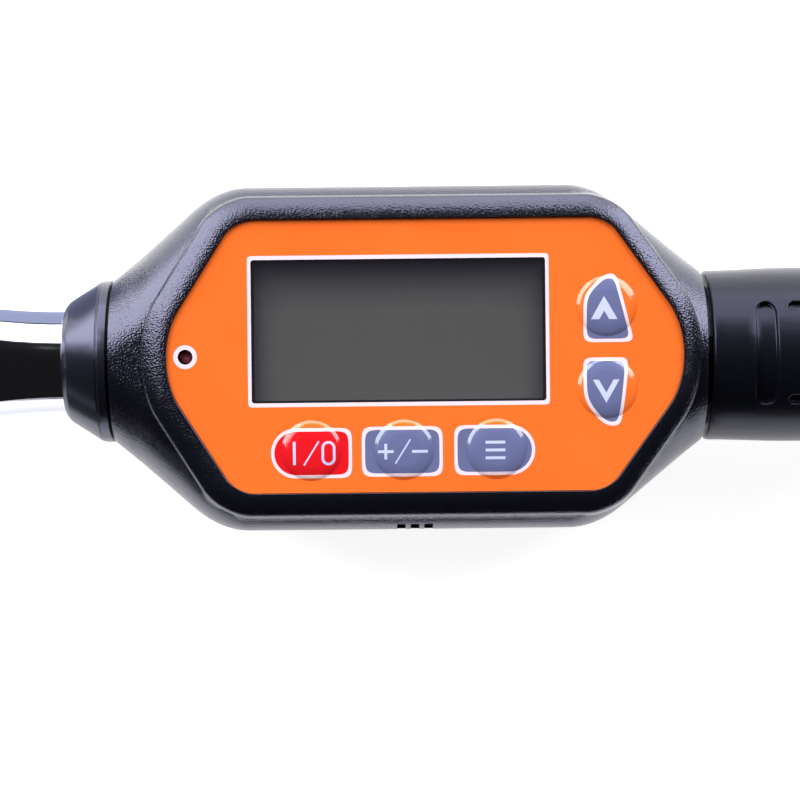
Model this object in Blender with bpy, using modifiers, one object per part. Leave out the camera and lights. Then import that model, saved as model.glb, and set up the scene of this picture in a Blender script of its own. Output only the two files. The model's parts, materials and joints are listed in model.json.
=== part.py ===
"""Digital torque wrench with a ratchet head, a display housing and a moulded grip.

Metres, +Z up. The wrench lies on its back with the display facing up. Every piece is placed in
the wrench's own frame, whose X axis is the wrench's axis, with the head towards -X, the grip
towards +X and x = 0 under the middle of the display. An empty carries that frame.
"""

from math import asin, atan2, cos, pi, radians, sin

import bmesh
import bpy
from mathutils import Matrix, Vector

# Clearance between neighbouring pieces
GAP = 0.0003

# How far a cutter reaches past the face it opens, and how far a joined form sinks in
REACH = 0.0010
SINK = 0.0004

# Small broken edge on turned pieces
EDGE = 0.0006

# Turn that lays a piece's own Z axis along X
ALONG_X = (0, pi / 2, 0)

# Display housing, along the wrench and across it
HOUSING_FRONT_X = -0.0508
HOUSING_REAR_X = 0.0543
HOUSING_HALF_WIDTH = 0.0304
HOUSING_TOP_Z = 0.0153
HOUSING_BACK_Z = -0.0205
FRONT_END_RADIUS = 0.0147
REAR_END_RADIUS = 0.0153
SHOULDER_RADIUS = 0.0090
FRONT_SHOULDER_X = -0.0322
REAR_SHOULDER_X = 0.0349
SHOULDER_BLEND = 0.0050
FRONT_BELLY_X = -0.0390
REAR_BELLY_X = 0.0405
BELLY_BLEND = 0.0030
WALL = 0.0024

# Raised bezel and the hexagonal panel that lies in it
PANEL_MARGIN = 0.0065
PANEL_HALF_WIDTH = HOUSING_HALF_WIDTH - PANEL_MARGIN
PANEL_FRONT_TIP_X = -0.0435
PANEL_FRONT_CORNER_X = -0.0285
PANEL_REAR_CORNER_X = 0.0360
PANEL_REAR_TIP_X = 0.0531
PANEL_TIP_RADIUS = 0.0155
PANEL_CORNER_RADIUS = 0.0058
BEZEL_LIP = 0.0031
BEZEL_TOP_Z = 0.0182
BEZEL_DRAFT = 0.0009
BEZEL_ROUNDING = 0.0012
BEZEL_KNEE_DEPTH = 0.0023
BEZEL_ROOT_DEPTH = 0.0073
PANEL_TOP_Z = 0.0168
PANEL_THICKNESS = 0.0008

# Display; its width leaves room on the panel for the row of keys
WINDOW_X = -0.0003
WINDOW_Y = 0.0048
WINDOW_LENGTH = 0.0523
WINDOW_MARGINS = 0.0221
WINDOW_WIDTH = 2 * PANEL_HALF_WIDTH - WINDOW_MARGINS
WINDOW_LEDGE = 0.0011
LCD_LENGTH = 0.0546
LCD_MARGINS = 0.0029
LCD_WIDTH = WINDOW_WIDTH + LCD_MARGINS
LCD_THICKNESS = 0.0018

# Keys: name, x and y of the middle of each dome
KEY_ROW_X = 0.0006
KEY_ROW_MARGIN = 0.0078
KEY_ROW_Y = KEY_ROW_MARGIN - PANEL_HALF_WIDTH
KEY_PITCH = 0.0160
ARROW_X = 0.0359
ARROW_UP_Y = 0.0084
ARROW_DOWN_Y = -0.0058
KEYS = {
    "power": (KEY_ROW_X - KEY_PITCH, KEY_ROW_Y),
    "unit": (KEY_ROW_X, KEY_ROW_Y),
    "mode": (KEY_ROW_X + KEY_PITCH, KEY_ROW_Y),
    "up": (ARROW_X, ARROW_UP_Y),
    "down": (ARROW_X, ARROW_DOWN_Y),
}
KEY_RADIUS = 0.0052
KEY_RISE = 0.0007
KEY_RIM_RISE = 0.0002
KEY_TRAVEL = 0.0004
KEY_STEM_RADIUS = 0.0022
SWITCH_RADIUS = 0.0030
SWITCH_HEIGHT = 0.0007

# Status lamp, buzzer and its sound slots
LAMP_X = -0.0371
LAMP_Y = 0.0003
LAMP_HOLE_RADIUS = 0.00135
LAMP_RADIUS = 0.0015
LAMP_HEIGHT = 0.0024
BUZZER_X = 0.0024
BUZZER_MARGIN = 0.0114
BUZZER_Y = BUZZER_MARGIN - HOUSING_HALF_WIDTH
BUZZER_RADIUS = 0.0055
BUZZER_HEIGHT = 0.0045
SLOT_COUNT = 3
SLOT_PITCH = 0.0024
SLOT_WIDTH = 0.0012
SLOT_LOW_Z = 0.0040
SLOT_HIGH_Z = 0.0112

# Circuit board
BOARD_THICKNESS = 0.0016
BOARD_INSET = 0.0035

# Screws that join the covers
BOSS_FRONT_X = -0.0315
BOSS_REAR_X = 0.0330
BOSS_MARGIN = 0.0104
BOSS_Y = HOUSING_HALF_WIDTH - BOSS_MARGIN
BOSS_RADIUS = 0.0034
CASE_SCREW_RADIUS = 0.0012
CASE_SCREW_HEAD_RADIUS = 0.0024
CASE_SCREW_HEAD_HEIGHT = 0.0018
CASE_SCREW_SINK = 0.0009
CASE_SCREW_REACH_Z = 0.0060

# Two cells, their contacts and the door in the back
CELL_RADIUS = 0.00525
CELL_LENGTH = 0.0445
CELL_NUB_RADIUS = 0.0019
CELL_NUB_HEIGHT = 0.0008
CELL_X = -0.0020
CELL_EDGE = 0.0006
CELL_SPACING = 0.0140
CELL_Z = -0.0126
CONTACT_SPACE = 0.0030
CONTACT_THICKNESS = 0.0003
CONTACT_HEIGHT = 0.0080
CONTACT_MARGIN = 0.0010
CELL_SPRING_RADIUS = 0.0028
CELL_SPRING_WIRE = 0.00025
RIB_THICKNESS = 0.0016
RIB_TOP_Z = -0.0073
RIB_HALF_WIDTH = 0.0130
DOOR_FRONT_X = -0.0270
DOOR_REAR_X = 0.0290
DOOR_HALF_WIDTH = 0.0130
DOOR_THICKNESS = 0.0019
DOOR_CORNER = 0.0020
DOOR_LEDGE = 0.0015
DOOR_LEDGE_THICKNESS = 0.0011
DOOR_SCREW_X = 0.0257
DOOR_SCREW_RADIUS = 0.0010
DOOR_SCREW_HEAD_RADIUS = 0.0020
DOOR_SCREW_HEAD_HEIGHT = 0.0006
DOOR_SCREW_LENGTH = 0.0045
DOOR_BOSS_RADIUS = 0.0024
DOOR_BOSS_TOP_Z = -0.0130

# Neck, sensing beam and the collar round the neck
NECK_RADIUS = 0.0090
NECK_ROOT_HALF_WIDTH = 0.0128
NECK_ROOT_HALF_HEIGHT = 0.0096
NECK_ROOT_CORNER = 0.0070
NECK_ROOT_OFFSET = 0.0040
NECK_STRAIGHT = 0.0010
COLLAR_LENGTH = 0.0076
COLLAR_NOSE_RADIUS = 0.0108
COLLAR_NOSE_LENGTH = 0.0016
COLLAR_LIP_RADIUS = 0.0145
COLLAR_LIP_LENGTH = 0.0012
COLLAR_FACE = 0.0002
SEAL_THICKNESS = 0.0006
SEAL_SETBACK = 0.0007
SPIGOT_RADIUS = 0.0120
SPIGOT_LENGTH = 0.0050
BEAM_HALF_WIDTH = 0.0065
BEAM_HALF_HEIGHT = 0.0055
BEAM_FRONT_X = -0.0460
BEAM_REAR_X = 0.0360
BEAM_CORNER = 0.0015
BEAM_RUNOUT = 0.0030
BEAM_TAIL_RADIUS = 0.0096
BEAM_TAIL_END_X = 0.0660
GAUGE_LENGTH = 0.0090
GAUGE_WIDTH = 0.0050

# Ratchet head, with its pieces measured from the gear's axis
HEAD_TO_COLLAR = 0.0734
HEAD_RADIUS = 0.0185
HEAD_TAIL_RADIUS = 0.0140
HEAD_HALF_HEIGHT = 0.0110
HEAD_EDGE = 0.0010
LEVER_OFFSET = 0.0240
GEAR_TEETH = 36
GEAR_TIP_RADIUS = 0.0120
GEAR_ROOT_RADIUS = 0.0110
GEAR_HALF_HEIGHT = 0.0064
GEAR_BORE_CLEARANCE = 0.0004
GEAR_DISH_RIM = 0.0022
GEAR_BOSS_RADIUS = 0.0076
GEAR_JOURNAL_RADIUS = 0.0086
SQUARE_SIZE = 0.00953
SQUARE_LENGTH = 0.0105
SQUARE_CORNER = 0.0010
SQUARE_FOOT = 0.0010
SQUARE_ROOT = 0.0030
JOURNAL_STANDOUT = 0.0010
BALL_RADIUS = 0.0016
BALL_PROUD = 0.0008
BALL_HEIGHT = 0.0052
BALL_TRAVEL = 0.0008
DETENT_WIRE = 0.0002
PAWL_PIN_OFFSET = 0.0156
PAWL_PIN_RADIUS = 0.00145
PAWL_PIN_SINK = 0.0020
PAWL_ROCK = radians(6.0)
PAWL_TIP_CLEARANCE = 0.00045
PAWL_VALLEY_CLEARANCE = 0.00035
PAWL_HALF_TOOTH = 3.7
PAWL_HEEL = 0.0028

# Upper half of the pawl's back and of its bay, as x from the pawl's pin, and y
PAWL_BACK = ((-0.0040, 0.0112), (-0.0006, 0.0094), (0.0034, 0.0050), (0.0036, 0.0030))
PAWL_BAY = ((-0.0106, 0.0131), (-0.0021, 0.0131), (0.0047, 0.0072), (0.0066, 0.0046))
BAY_STEP = 0.00005

# Reversing lever, its plunger, and the plate over the mechanism
LEVER_SWING = radians(30.0)
LEVER_SHAFT_RADIUS = 0.0042
LEVER_NECK_RADIUS = 0.0032
LEVER_TAB_LENGTH = 0.0150
LEVER_TAB_WIDTH = 0.0046
LEVER_TAB_HEIGHT = 0.0024
LEVER_TAB_RISE = 0.0012
LEVER_CAP_RIM = 0.0022
PLUNGER_RADIUS = 0.0012
PLUNGER_REACH = 0.0052
PLUNGER_LENGTH = 0.0034
PLUNGER_TRAVEL = 0.0005
PLUNGER_WIRE = 0.00018
PLATE_THICKNESS = 0.0021
PLATE_INSET = 0.0016
PLATE_SCREW_RADIUS = 0.0010
PLATE_SCREW_HEAD_RADIUS = 0.0018
PLATE_SCREW_HEAD_HEIGHT = 0.0009
PLATE_SCREW_LENGTH = 0.0060
PLATE_SCREW_SINK = 0.0001
PLATE_SCREW_TAIL = 0.0089
PLATE_SCREW_CIRCLE = 0.0144
PLATE_SCREW_ANGLE = radians(125.0)

# Handle tube, grip and end cap
TUBE_RADIUS = 0.0122
TUBE_WALL = 0.0023
TUBE_FRONT_X = 0.0430
TUBE_SETBACK = 0.0010
PIN_RADIUS = 0.0020
PIN_PLACES = {"pin_front": 0.0460, "pin_rear": 0.0605}
GRIP_LENGTH = 0.1720
GRIP_FRONT_RADIUS = 0.0152
GRIP_CHAMFER = 0.0008
GRIP_NECK_AT = 0.0150
GRIP_NECK_RADIUS = 0.0156
GRIP_SWELL_RADIUS = 0.0172
GRIP_SWELL_AT = 0.0640
GRIP_WAIST_RADIUS = 0.0158
GRIP_WAIST_AT = 0.1380
GRIP_END_RADIUS = 0.0166
GRIP_SLOT_X = 0.0640
GRIP_SLOT_WIDTH = 0.0036
GRIP_SLOT_HALF_SPAN = 0.0089
GRIP_RECESS_DEPTH = 0.0010
GRIP_GROOVE_X = 0.0680
GRIP_GROOVE_LENGTH = 0.1100
GRIP_GROOVE_WIDTH = 0.0018
GRIP_GROOVE_Y = 0.0082
GRIP_SIDES = 2
CAP_THICKNESS = 0.0060
CAP_SPIGOT_LENGTH = 0.0120
CAP_ROUNDING = 0.0030

# Sizes that follow from those above
COLLAR_FRONT_X = HOUSING_FRONT_X - GAP - SEAL_THICKNESS - GAP - COLLAR_LENGTH
HEAD_X = COLLAR_FRONT_X - HEAD_TO_COLLAR
GRIP_FRONT_X = HOUSING_REAR_X + GAP
GRIP_REAR_X = GRIP_FRONT_X + GRIP_LENGTH
CAP_END_X = GRIP_REAR_X + GAP + CAP_THICKNESS
PANEL_BOTTOM_Z = PANEL_TOP_Z - PANEL_THICKNESS
FLOOR_Z = PANEL_BOTTOM_Z - GAP
CEILING_Z = HOUSING_TOP_Z - WALL
BOARD_TOP_Z = CEILING_Z - GAP
BOARD_BOTTOM_Z = BOARD_TOP_Z - BOARD_THICKNESS
SWITCH_TOP_Z = BOARD_TOP_Z + GAP + SWITCH_HEIGHT
INNER_BACK_Z = HOUSING_BACK_Z + WALL
DOOR_SEAT_Z = HOUSING_BACK_Z + DOOR_THICKNESS + GAP
LEDGE_TOP_Z = DOOR_SEAT_Z + DOOR_LEDGE_THICKNESS
PLATE_SEAT_Z = HEAD_HALF_HEIGHT - PLATE_THICKNESS
GEAR_FLOOR_Z = -GEAR_HALF_HEIGHT - GAP
SQUARE_TOP_Z = -HEAD_HALF_HEIGHT - JOURNAL_STANDOUT
SQUARE_END_Z = SQUARE_TOP_Z - SQUARE_LENGTH
TUBE_BORE = TUBE_RADIUS - TUBE_WALL

WRENCH_X = -((HEAD_X - HEAD_RADIUS) + CAP_END_X) / 2
WRENCH_Z = -SQUARE_END_Z


def empty_scene():
    """Remove every object and start the two collections."""
    for item in list(bpy.data.objects):
        bpy.data.objects.remove(item)
    for name in ("digital_torque_wrench", "cutters"):
        bpy.context.scene.collection.children.link(bpy.data.collections.new(name))


def add_empty(name, place, parent=None, turn=(0, 0, 0)):
    """An empty that carries the frame of the pieces parented to it."""
    holder = bpy.data.objects.new(name, None)
    holder.location = place
    holder.rotation_euler = turn
    holder.parent = parent
    bpy.data.collections["digital_torque_wrench"].objects.link(holder)
    return holder


def make_material(name, colour, roughness, metallic=0.0):
    """A Principled BSDF material in one plain colour."""
    material = bpy.data.materials.new(name)
    material.use_nodes = True
    shader = material.node_tree.nodes["Principled BSDF"]
    shader.inputs["Base Color"].default_value = (*colour, 1.0)
    shader.inputs["Roughness"].default_value = roughness
    shader.inputs["Metallic"].default_value = metallic
    return material


def add_object(name, mesh, frame, material=None, place=(0, 0, 0), turn=(0, 0, 0)):
    """Link a mesh as a piece, or as a hidden cutter where it has no material."""
    item = bpy.data.objects.new(name, mesh)
    item.location = place
    item.rotation_euler = turn
    item.parent = frame
    if material is None:
        item.hide_render = True
        item.display_type = "WIRE"
        bpy.data.collections["cutters"].objects.link(item)
    else:
        mesh.materials.append(material)
        bpy.data.collections["digital_torque_wrench"].objects.link(item)
    return item


def finish_mesh(bm, name, smooth=True):
    """Turn a bmesh into a mesh with its faces pointing out."""
    bmesh.ops.remove_doubles(bm, verts=bm.verts, dist=1e-7)
    bmesh.ops.recalc_face_normals(bm, faces=bm.faces)
    mesh = bpy.data.meshes.new(name)
    bm.to_mesh(mesh)
    bm.free()
    if smooth:
        mesh.shade_smooth()
        mesh.set_sharp_from_angle(angle=radians(32))
    return mesh


def add_box(bm, low, high):
    """A box between two corners."""
    size = Vector(high) - Vector(low)
    middle = (Vector(high) + Vector(low)) / 2
    matrix = Matrix.Translation(middle) @ Matrix.Diagonal((*size, 1.0))
    bmesh.ops.create_cube(bm, size=1.0, matrix=matrix)


def add_cylinder(bm, radius, low, high, centre=(0.0, 0.0), segments=24):
    """An upright cylinder between two heights."""
    matrix = Matrix.Translation((centre[0], centre[1], (low + high) / 2))
    bmesh.ops.create_cone(bm, cap_ends=True, segments=segments, radius1=radius, radius2=radius,
                          depth=high - low, matrix=matrix)


def add_rod(bm, radius, start_x, end_x, segments=32):
    """A cylinder along the X axis."""
    matrix = Matrix.Translation(((start_x + end_x) / 2, 0, 0)) @ Matrix.Rotation(pi / 2, 4, "Y")
    bmesh.ops.create_cone(bm, cap_ends=True, segments=segments, radius1=radius, radius2=radius,
                          depth=end_x - start_x, matrix=matrix)


def add_prism(bm, outline, low, high):
    """Extrude a flat outline of (x, y) points between two heights."""
    face = bm.faces.new([bm.verts.new((x, y, low)) for x, y in outline])
    grown = bmesh.ops.extrude_face_region(bm, geom=[face])["geom"]
    top = [item for item in grown if isinstance(item, bmesh.types.BMVert)]
    bmesh.ops.translate(bm, verts=top, vec=(0, 0, high - low))


def add_loft(bm, rings):
    """Skin a row of rings that have the same number of points, and cap both ends."""
    rows = [[bm.verts.new(point) for point in ring] for ring in rings]
    count = len(rows[0])
    for before, after in zip(rows, rows[1:]):
        for i in range(count):
            j = (i + 1) % count
            bm.faces.new((before[i], before[j], after[j], after[i]))
    bm.faces.new(rows[0])
    bm.faces.new(rows[-1])


def turned(name, profile, frame, material=None, place=(0, 0, 0), turn=(0, 0, 0), steps=32, ring=False):
    """Turn a profile of (radius, height) points, top to bottom, about the local Z axis."""
    bm = bmesh.new()
    points = [bm.verts.new((radius, 0, height)) for radius, height in profile]
    for before, after in zip(points, points[1:]):
        bm.edges.new((before, after))
    if ring:
        bm.edges.new((points[-1], points[0]))
    mesh = bpy.data.meshes.new(name)
    bm.to_mesh(mesh)
    bm.free()
    item = add_object(name, mesh, frame, material, place, turn)
    screw = item.modifiers.new("turn", "SCREW")
    screw.steps = steps
    screw.render_steps = steps
    screw.use_merge_vertices = True
    screw.merge_threshold = 0.000001
    screw.use_smooth_shade = True
    return item


def boolean(item, tool, operation="DIFFERENCE"):
    """Cut a piece with a cutter, or join a form to it."""
    modifier = item.modifiers.new(tool.name, "BOOLEAN")
    modifier.operation = operation
    modifier.object = tool
    modifier.solver = "EXACT"


def coil(name, frame, material, radius, wire, start, end, turns, place=(0, 0, 0), turn=(0, 0, 0)):
    """A wire coil along the local Z axis, from start to end."""
    points_per_turn = 8
    count = int(turns * points_per_turn) + 1
    curve = bpy.data.curves.new(name, "CURVE")
    curve.dimensions = "3D"
    curve.bevel_depth = wire
    curve.bevel_resolution = 0
    curve.use_fill_caps = True
    spline = curve.splines.new("POLY")
    spline.points.add(count - 1)
    for i, point in enumerate(spline.points):
        angle = 2 * pi * i / points_per_turn
        height = start + (end - start) * i / (count - 1)
        point.co = (radius * cos(angle), radius * sin(angle), height, 1)
    return add_object(name, curve, frame, material, place, turn)


def knee(x, at, blend):
    """A ramp that starts at a point and rises at slope 1, rounded over a blend length."""
    if x <= at - blend:
        return 0.0
    if x >= at + blend:
        return x - at
    return (x - at + blend) ** 2 / (4 * blend)


def trapezium(x, front, rear, middle, front_knee, rear_knee, blend):
    """A height that climbs from the front end to the middle value and falls to the rear end."""
    climb = (middle - front) / (front_knee - HOUSING_FRONT_X)
    fall = (middle - rear) / (HOUSING_REAR_X - rear_knee)
    return (front + climb * (x - HOUSING_FRONT_X) - climb * knee(x, front_knee, blend)
            - fall * knee(x, rear_knee, blend))


def rounded_section(x, half_width, top, bottom, top_radius, bottom_radius, segments):
    """A ring across the X axis: a rectangle with rounded corners, as points (x, y, z)."""
    corners = (
        (half_width - top_radius, top - top_radius, top_radius, 0),
        (-half_width + top_radius, top - top_radius, top_radius, 1),
        (-half_width + bottom_radius, bottom + bottom_radius, bottom_radius, 2),
        (half_width - bottom_radius, bottom + bottom_radius, bottom_radius, 3),
    )
    ring = []
    for y, z, radius, quarter in corners:
        for i in range(segments + 1):
            angle = (quarter + i / segments) * pi / 2
            ring.append((x, y + radius * cos(angle), z + radius * sin(angle)))
    return ring


def housing_ring(x, inset, segments):
    """The housing's section at x, drawn inwards by an inset."""
    end_radius = FRONT_END_RADIUS if x < 0 else REAR_END_RADIUS
    half_width = trapezium(x, FRONT_END_RADIUS, REAR_END_RADIUS, HOUSING_HALF_WIDTH,
                           FRONT_SHOULDER_X, REAR_SHOULDER_X, SHOULDER_BLEND)
    share = (half_width - end_radius) / (HOUSING_HALF_WIDTH - end_radius)
    top = end_radius + (HOUSING_TOP_Z - end_radius) * share
    bottom = -trapezium(x, FRONT_END_RADIUS, REAR_END_RADIUS, -HOUSING_BACK_Z,
                        FRONT_BELLY_X, REAR_BELLY_X, BELLY_BLEND)
    radius = end_radius + (SHOULDER_RADIUS - end_radius) * share
    return rounded_section(x, half_width - inset, top - inset, bottom + inset,
                           radius - inset, radius - inset, segments)


def housing_stations(front, rear, step):
    """Places of the sections: close together on the slopes, none on the straight middle."""
    slope_end = FRONT_SHOULDER_X + SHOULDER_BLEND
    slope_start = REAR_SHOULDER_X - SHOULDER_BLEND
    count = round((slope_end - front) / step)
    first = [front + (slope_end - front) * i / count for i in range(count + 1)]
    count = round((rear - slope_start) / step)
    last = [slope_start + (rear - slope_start) * i / count for i in range(count + 1)]
    return first + last


def housing_body(name, frame, material=None, inset=0.0, step=0.0028, segments=5):
    """The housing's rounded body, solid, or its inside where it has an inset."""
    bm = bmesh.new()
    stations = housing_stations(HOUSING_FRONT_X + inset, HOUSING_REAR_X - inset, step)
    add_loft(bm, [housing_ring(x, inset, segments) for x in stations])
    return add_object(name, finish_mesh(bm, name), frame, material)


def arc_corner(before, corner, after, radius, steps):
    """Points of the arc that rounds one corner of a flat outline."""
    corner = Vector(corner)
    towards = (Vector(before) - corner).normalized()
    away = (Vector(after) - corner).normalized()
    half = towards.angle(away) / 2
    middle = corner + (towards + away).normalized() * radius / sin(half)
    start = corner + towards * radius * cos(half) / sin(half) - middle
    end = corner + away * radius * cos(half) / sin(half) - middle
    first = atan2(start.y, start.x)
    sweep = (atan2(end.y, end.x) - first + pi) % (2 * pi) - pi
    points = []
    for i in range(steps + 1):
        angle = first + sweep * i / steps
        points.append((middle.x + radius * cos(angle), middle.y + radius * sin(angle)))
    return points


def rounded_outline(corners, radii, steps):
    """A flat outline with each corner rounded by its own radius and number of steps."""
    outline = []
    for i, corner in enumerate(corners):
        before = corners[i - 1]
        after = corners[(i + 1) % len(corners)]
        outline += arc_corner(before, corner, after, radii[i], steps[i])
    return outline


def panel_outline(offset, tip_steps=6, corner_steps=4):
    """The panel's rounded hexagon, grown by an offset."""
    width = PANEL_HALF_WIDTH + offset
    front_slope = atan2(PANEL_HALF_WIDTH, PANEL_FRONT_CORNER_X - PANEL_FRONT_TIP_X)
    rear_slope = atan2(PANEL_HALF_WIDTH, PANEL_REAR_TIP_X - PANEL_REAR_CORNER_X)
    front_tip = PANEL_FRONT_TIP_X - offset / sin(front_slope)
    rear_tip = PANEL_REAR_TIP_X + offset / sin(rear_slope)
    front_corner = front_tip + width * cos(front_slope) / sin(front_slope)
    rear_corner = rear_tip - width * cos(rear_slope) / sin(rear_slope)
    corners = ((rear_tip, 0), (rear_corner, width), (front_corner, width),
               (front_tip, 0), (front_corner, -width), (rear_corner, -width))
    tip = PANEL_TIP_RADIUS + offset
    corner = PANEL_CORNER_RADIUS + offset
    radii = (tip, corner, corner, tip, corner, corner)
    steps = (tip_steps, corner_steps, corner_steps, tip_steps, corner_steps, corner_steps)
    return rounded_outline(corners, radii, steps)


def stacked(outlines):
    """Rings for a loft along Z, from pairs of a flat outline and its height."""
    return [[(x, y, z) for x, y in outline] for outline, z in outlines]


def bezel_form(frame):
    """The raised bezel: its drafted outer wall, rounded lip and the panel's recess."""
    walls = (
        (BEZEL_LIP + 2 * BEZEL_DRAFT, HOUSING_TOP_Z - BEZEL_ROOT_DEPTH),
        (BEZEL_LIP + BEZEL_DRAFT, HOUSING_TOP_Z - BEZEL_KNEE_DEPTH),
        (BEZEL_LIP, BEZEL_TOP_Z - BEZEL_ROUNDING),
        (BEZEL_LIP - BEZEL_ROUNDING * 0.4, BEZEL_TOP_Z - BEZEL_ROUNDING / 3),
        (BEZEL_LIP - BEZEL_ROUNDING, BEZEL_TOP_Z),
        (BEZEL_ROUNDING, BEZEL_TOP_Z),
        (BEZEL_ROUNDING * 0.4, BEZEL_TOP_Z - BEZEL_ROUNDING / 3),
        (BEZEL_ROUNDING * 0.1, BEZEL_TOP_Z - BEZEL_ROUNDING),
        (0.0, FLOOR_Z),
    )
    bm = bmesh.new()
    add_loft(bm, stacked([(panel_outline(offset), z) for offset, z in walls]))
    return add_object("bezel_form", finish_mesh(bm, "bezel_form"), frame)


def rectangle(centre_x, centre_y, length, width):
    """Corners of an upright rectangle."""
    left, right = centre_x - length / 2, centre_x + length / 2
    low, high = centre_y - width / 2, centre_y + width / 2
    return ((left, low), (right, low), (right, high), (left, high))


def rounded_rectangle(centre_x, centre_y, length, width, radius, steps=3):
    """A rectangle with four equal round corners."""
    corners = rectangle(centre_x, centre_y, length, width)
    return rounded_outline(corners, (radius,) * 4, (steps,) * 4)


def boss_places():
    """Middles of the four screw bosses."""
    return [(x, y) for x in (BOSS_FRONT_X, BOSS_REAR_X) for y in (-BOSS_Y, BOSS_Y)]


def end_holes(frame):
    """Cutter for the holes in the housing's ends, for the collar and for the handle tube."""
    bm = bmesh.new()
    add_rod(bm, SPIGOT_RADIUS + GAP, HOUSING_FRONT_X - WALL, HOUSING_FRONT_X + 2 * WALL)
    add_rod(bm, TUBE_RADIUS + GAP, HOUSING_REAR_X - 2 * WALL, HOUSING_REAR_X + WALL)
    return add_object("end_holes", finish_mesh(bm, "end_holes"), frame)


def half_space(name, frame, low, high):
    """A block that takes away everything between two heights."""
    bm = bmesh.new()
    reach = 0.1
    add_box(bm, (-reach, -reach, low), (reach, reach, high))
    return add_object(name, finish_mesh(bm, name, smooth=False), frame)


def front_cover(frame, material, cavity, holes):
    """The upper shell with its bezel, and the openings for the display, keys, lamp and sound."""
    cover = housing_body("front_cover", frame, material)
    boolean(cover, bezel_form(frame), "UNION")
    boolean(cover, half_space("below_seam", frame, -0.1, GAP / 2))
    boolean(cover, cavity)
    bm = bmesh.new()
    for place in boss_places():
        add_cylinder(bm, BOSS_RADIUS, GAP, CEILING_Z + WALL / 3, place, 14)
    boolean(cover, add_object("front_bosses", finish_mesh(bm, "front_bosses"), frame), "UNION")
    boolean(cover, holes)
    bm = bmesh.new()
    for place in KEYS.values():
        add_cylinder(bm, SWITCH_RADIUS + 2 * GAP, CEILING_Z - WALL / 2, BEZEL_TOP_Z, place, 14)
    add_cylinder(bm, LAMP_RADIUS + GAP, CEILING_Z - WALL / 2, BEZEL_TOP_Z, (LAMP_X, LAMP_Y), 16)
    for place in boss_places():
        add_cylinder(bm, CASE_SCREW_RADIUS + GAP, 0.0, CASE_SCREW_REACH_Z + REACH, place, 12)
    for i in range(SLOT_COUNT):
        x = BUZZER_X + (i - (SLOT_COUNT - 1) / 2) * SLOT_PITCH
        low = (x - SLOT_WIDTH / 2, -HOUSING_HALF_WIDTH - WALL, SLOT_LOW_Z)
        high = (x + SLOT_WIDTH / 2, -HOUSING_HALF_WIDTH + 3 * WALL, SLOT_HIGH_Z)
        add_box(bm, low, high)
    boolean(cover, add_object("front_openings", finish_mesh(bm, "front_openings"), frame))
    bm = bmesh.new()
    pocket = rectangle(WINDOW_X, WINDOW_Y, LCD_LENGTH + 2 * GAP, LCD_WIDTH + 2 * GAP)
    add_prism(bm, pocket, CEILING_Z - WALL / 2, BOARD_TOP_Z + 2 * GAP + LCD_THICKNESS)
    boolean(cover, add_object("lcd_pocket", finish_mesh(bm, "lcd_pocket", False), frame))
    bm = bmesh.new()
    sight = rectangle(WINDOW_X, WINDOW_Y, WINDOW_LENGTH - 2 * WINDOW_LEDGE, WINDOW_WIDTH - 2 * WINDOW_LEDGE)
    add_prism(bm, sight, CEILING_Z, BEZEL_TOP_Z)
    boolean(cover, add_object("sight_opening", finish_mesh(bm, "sight_opening", False), frame))
    return cover


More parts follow.
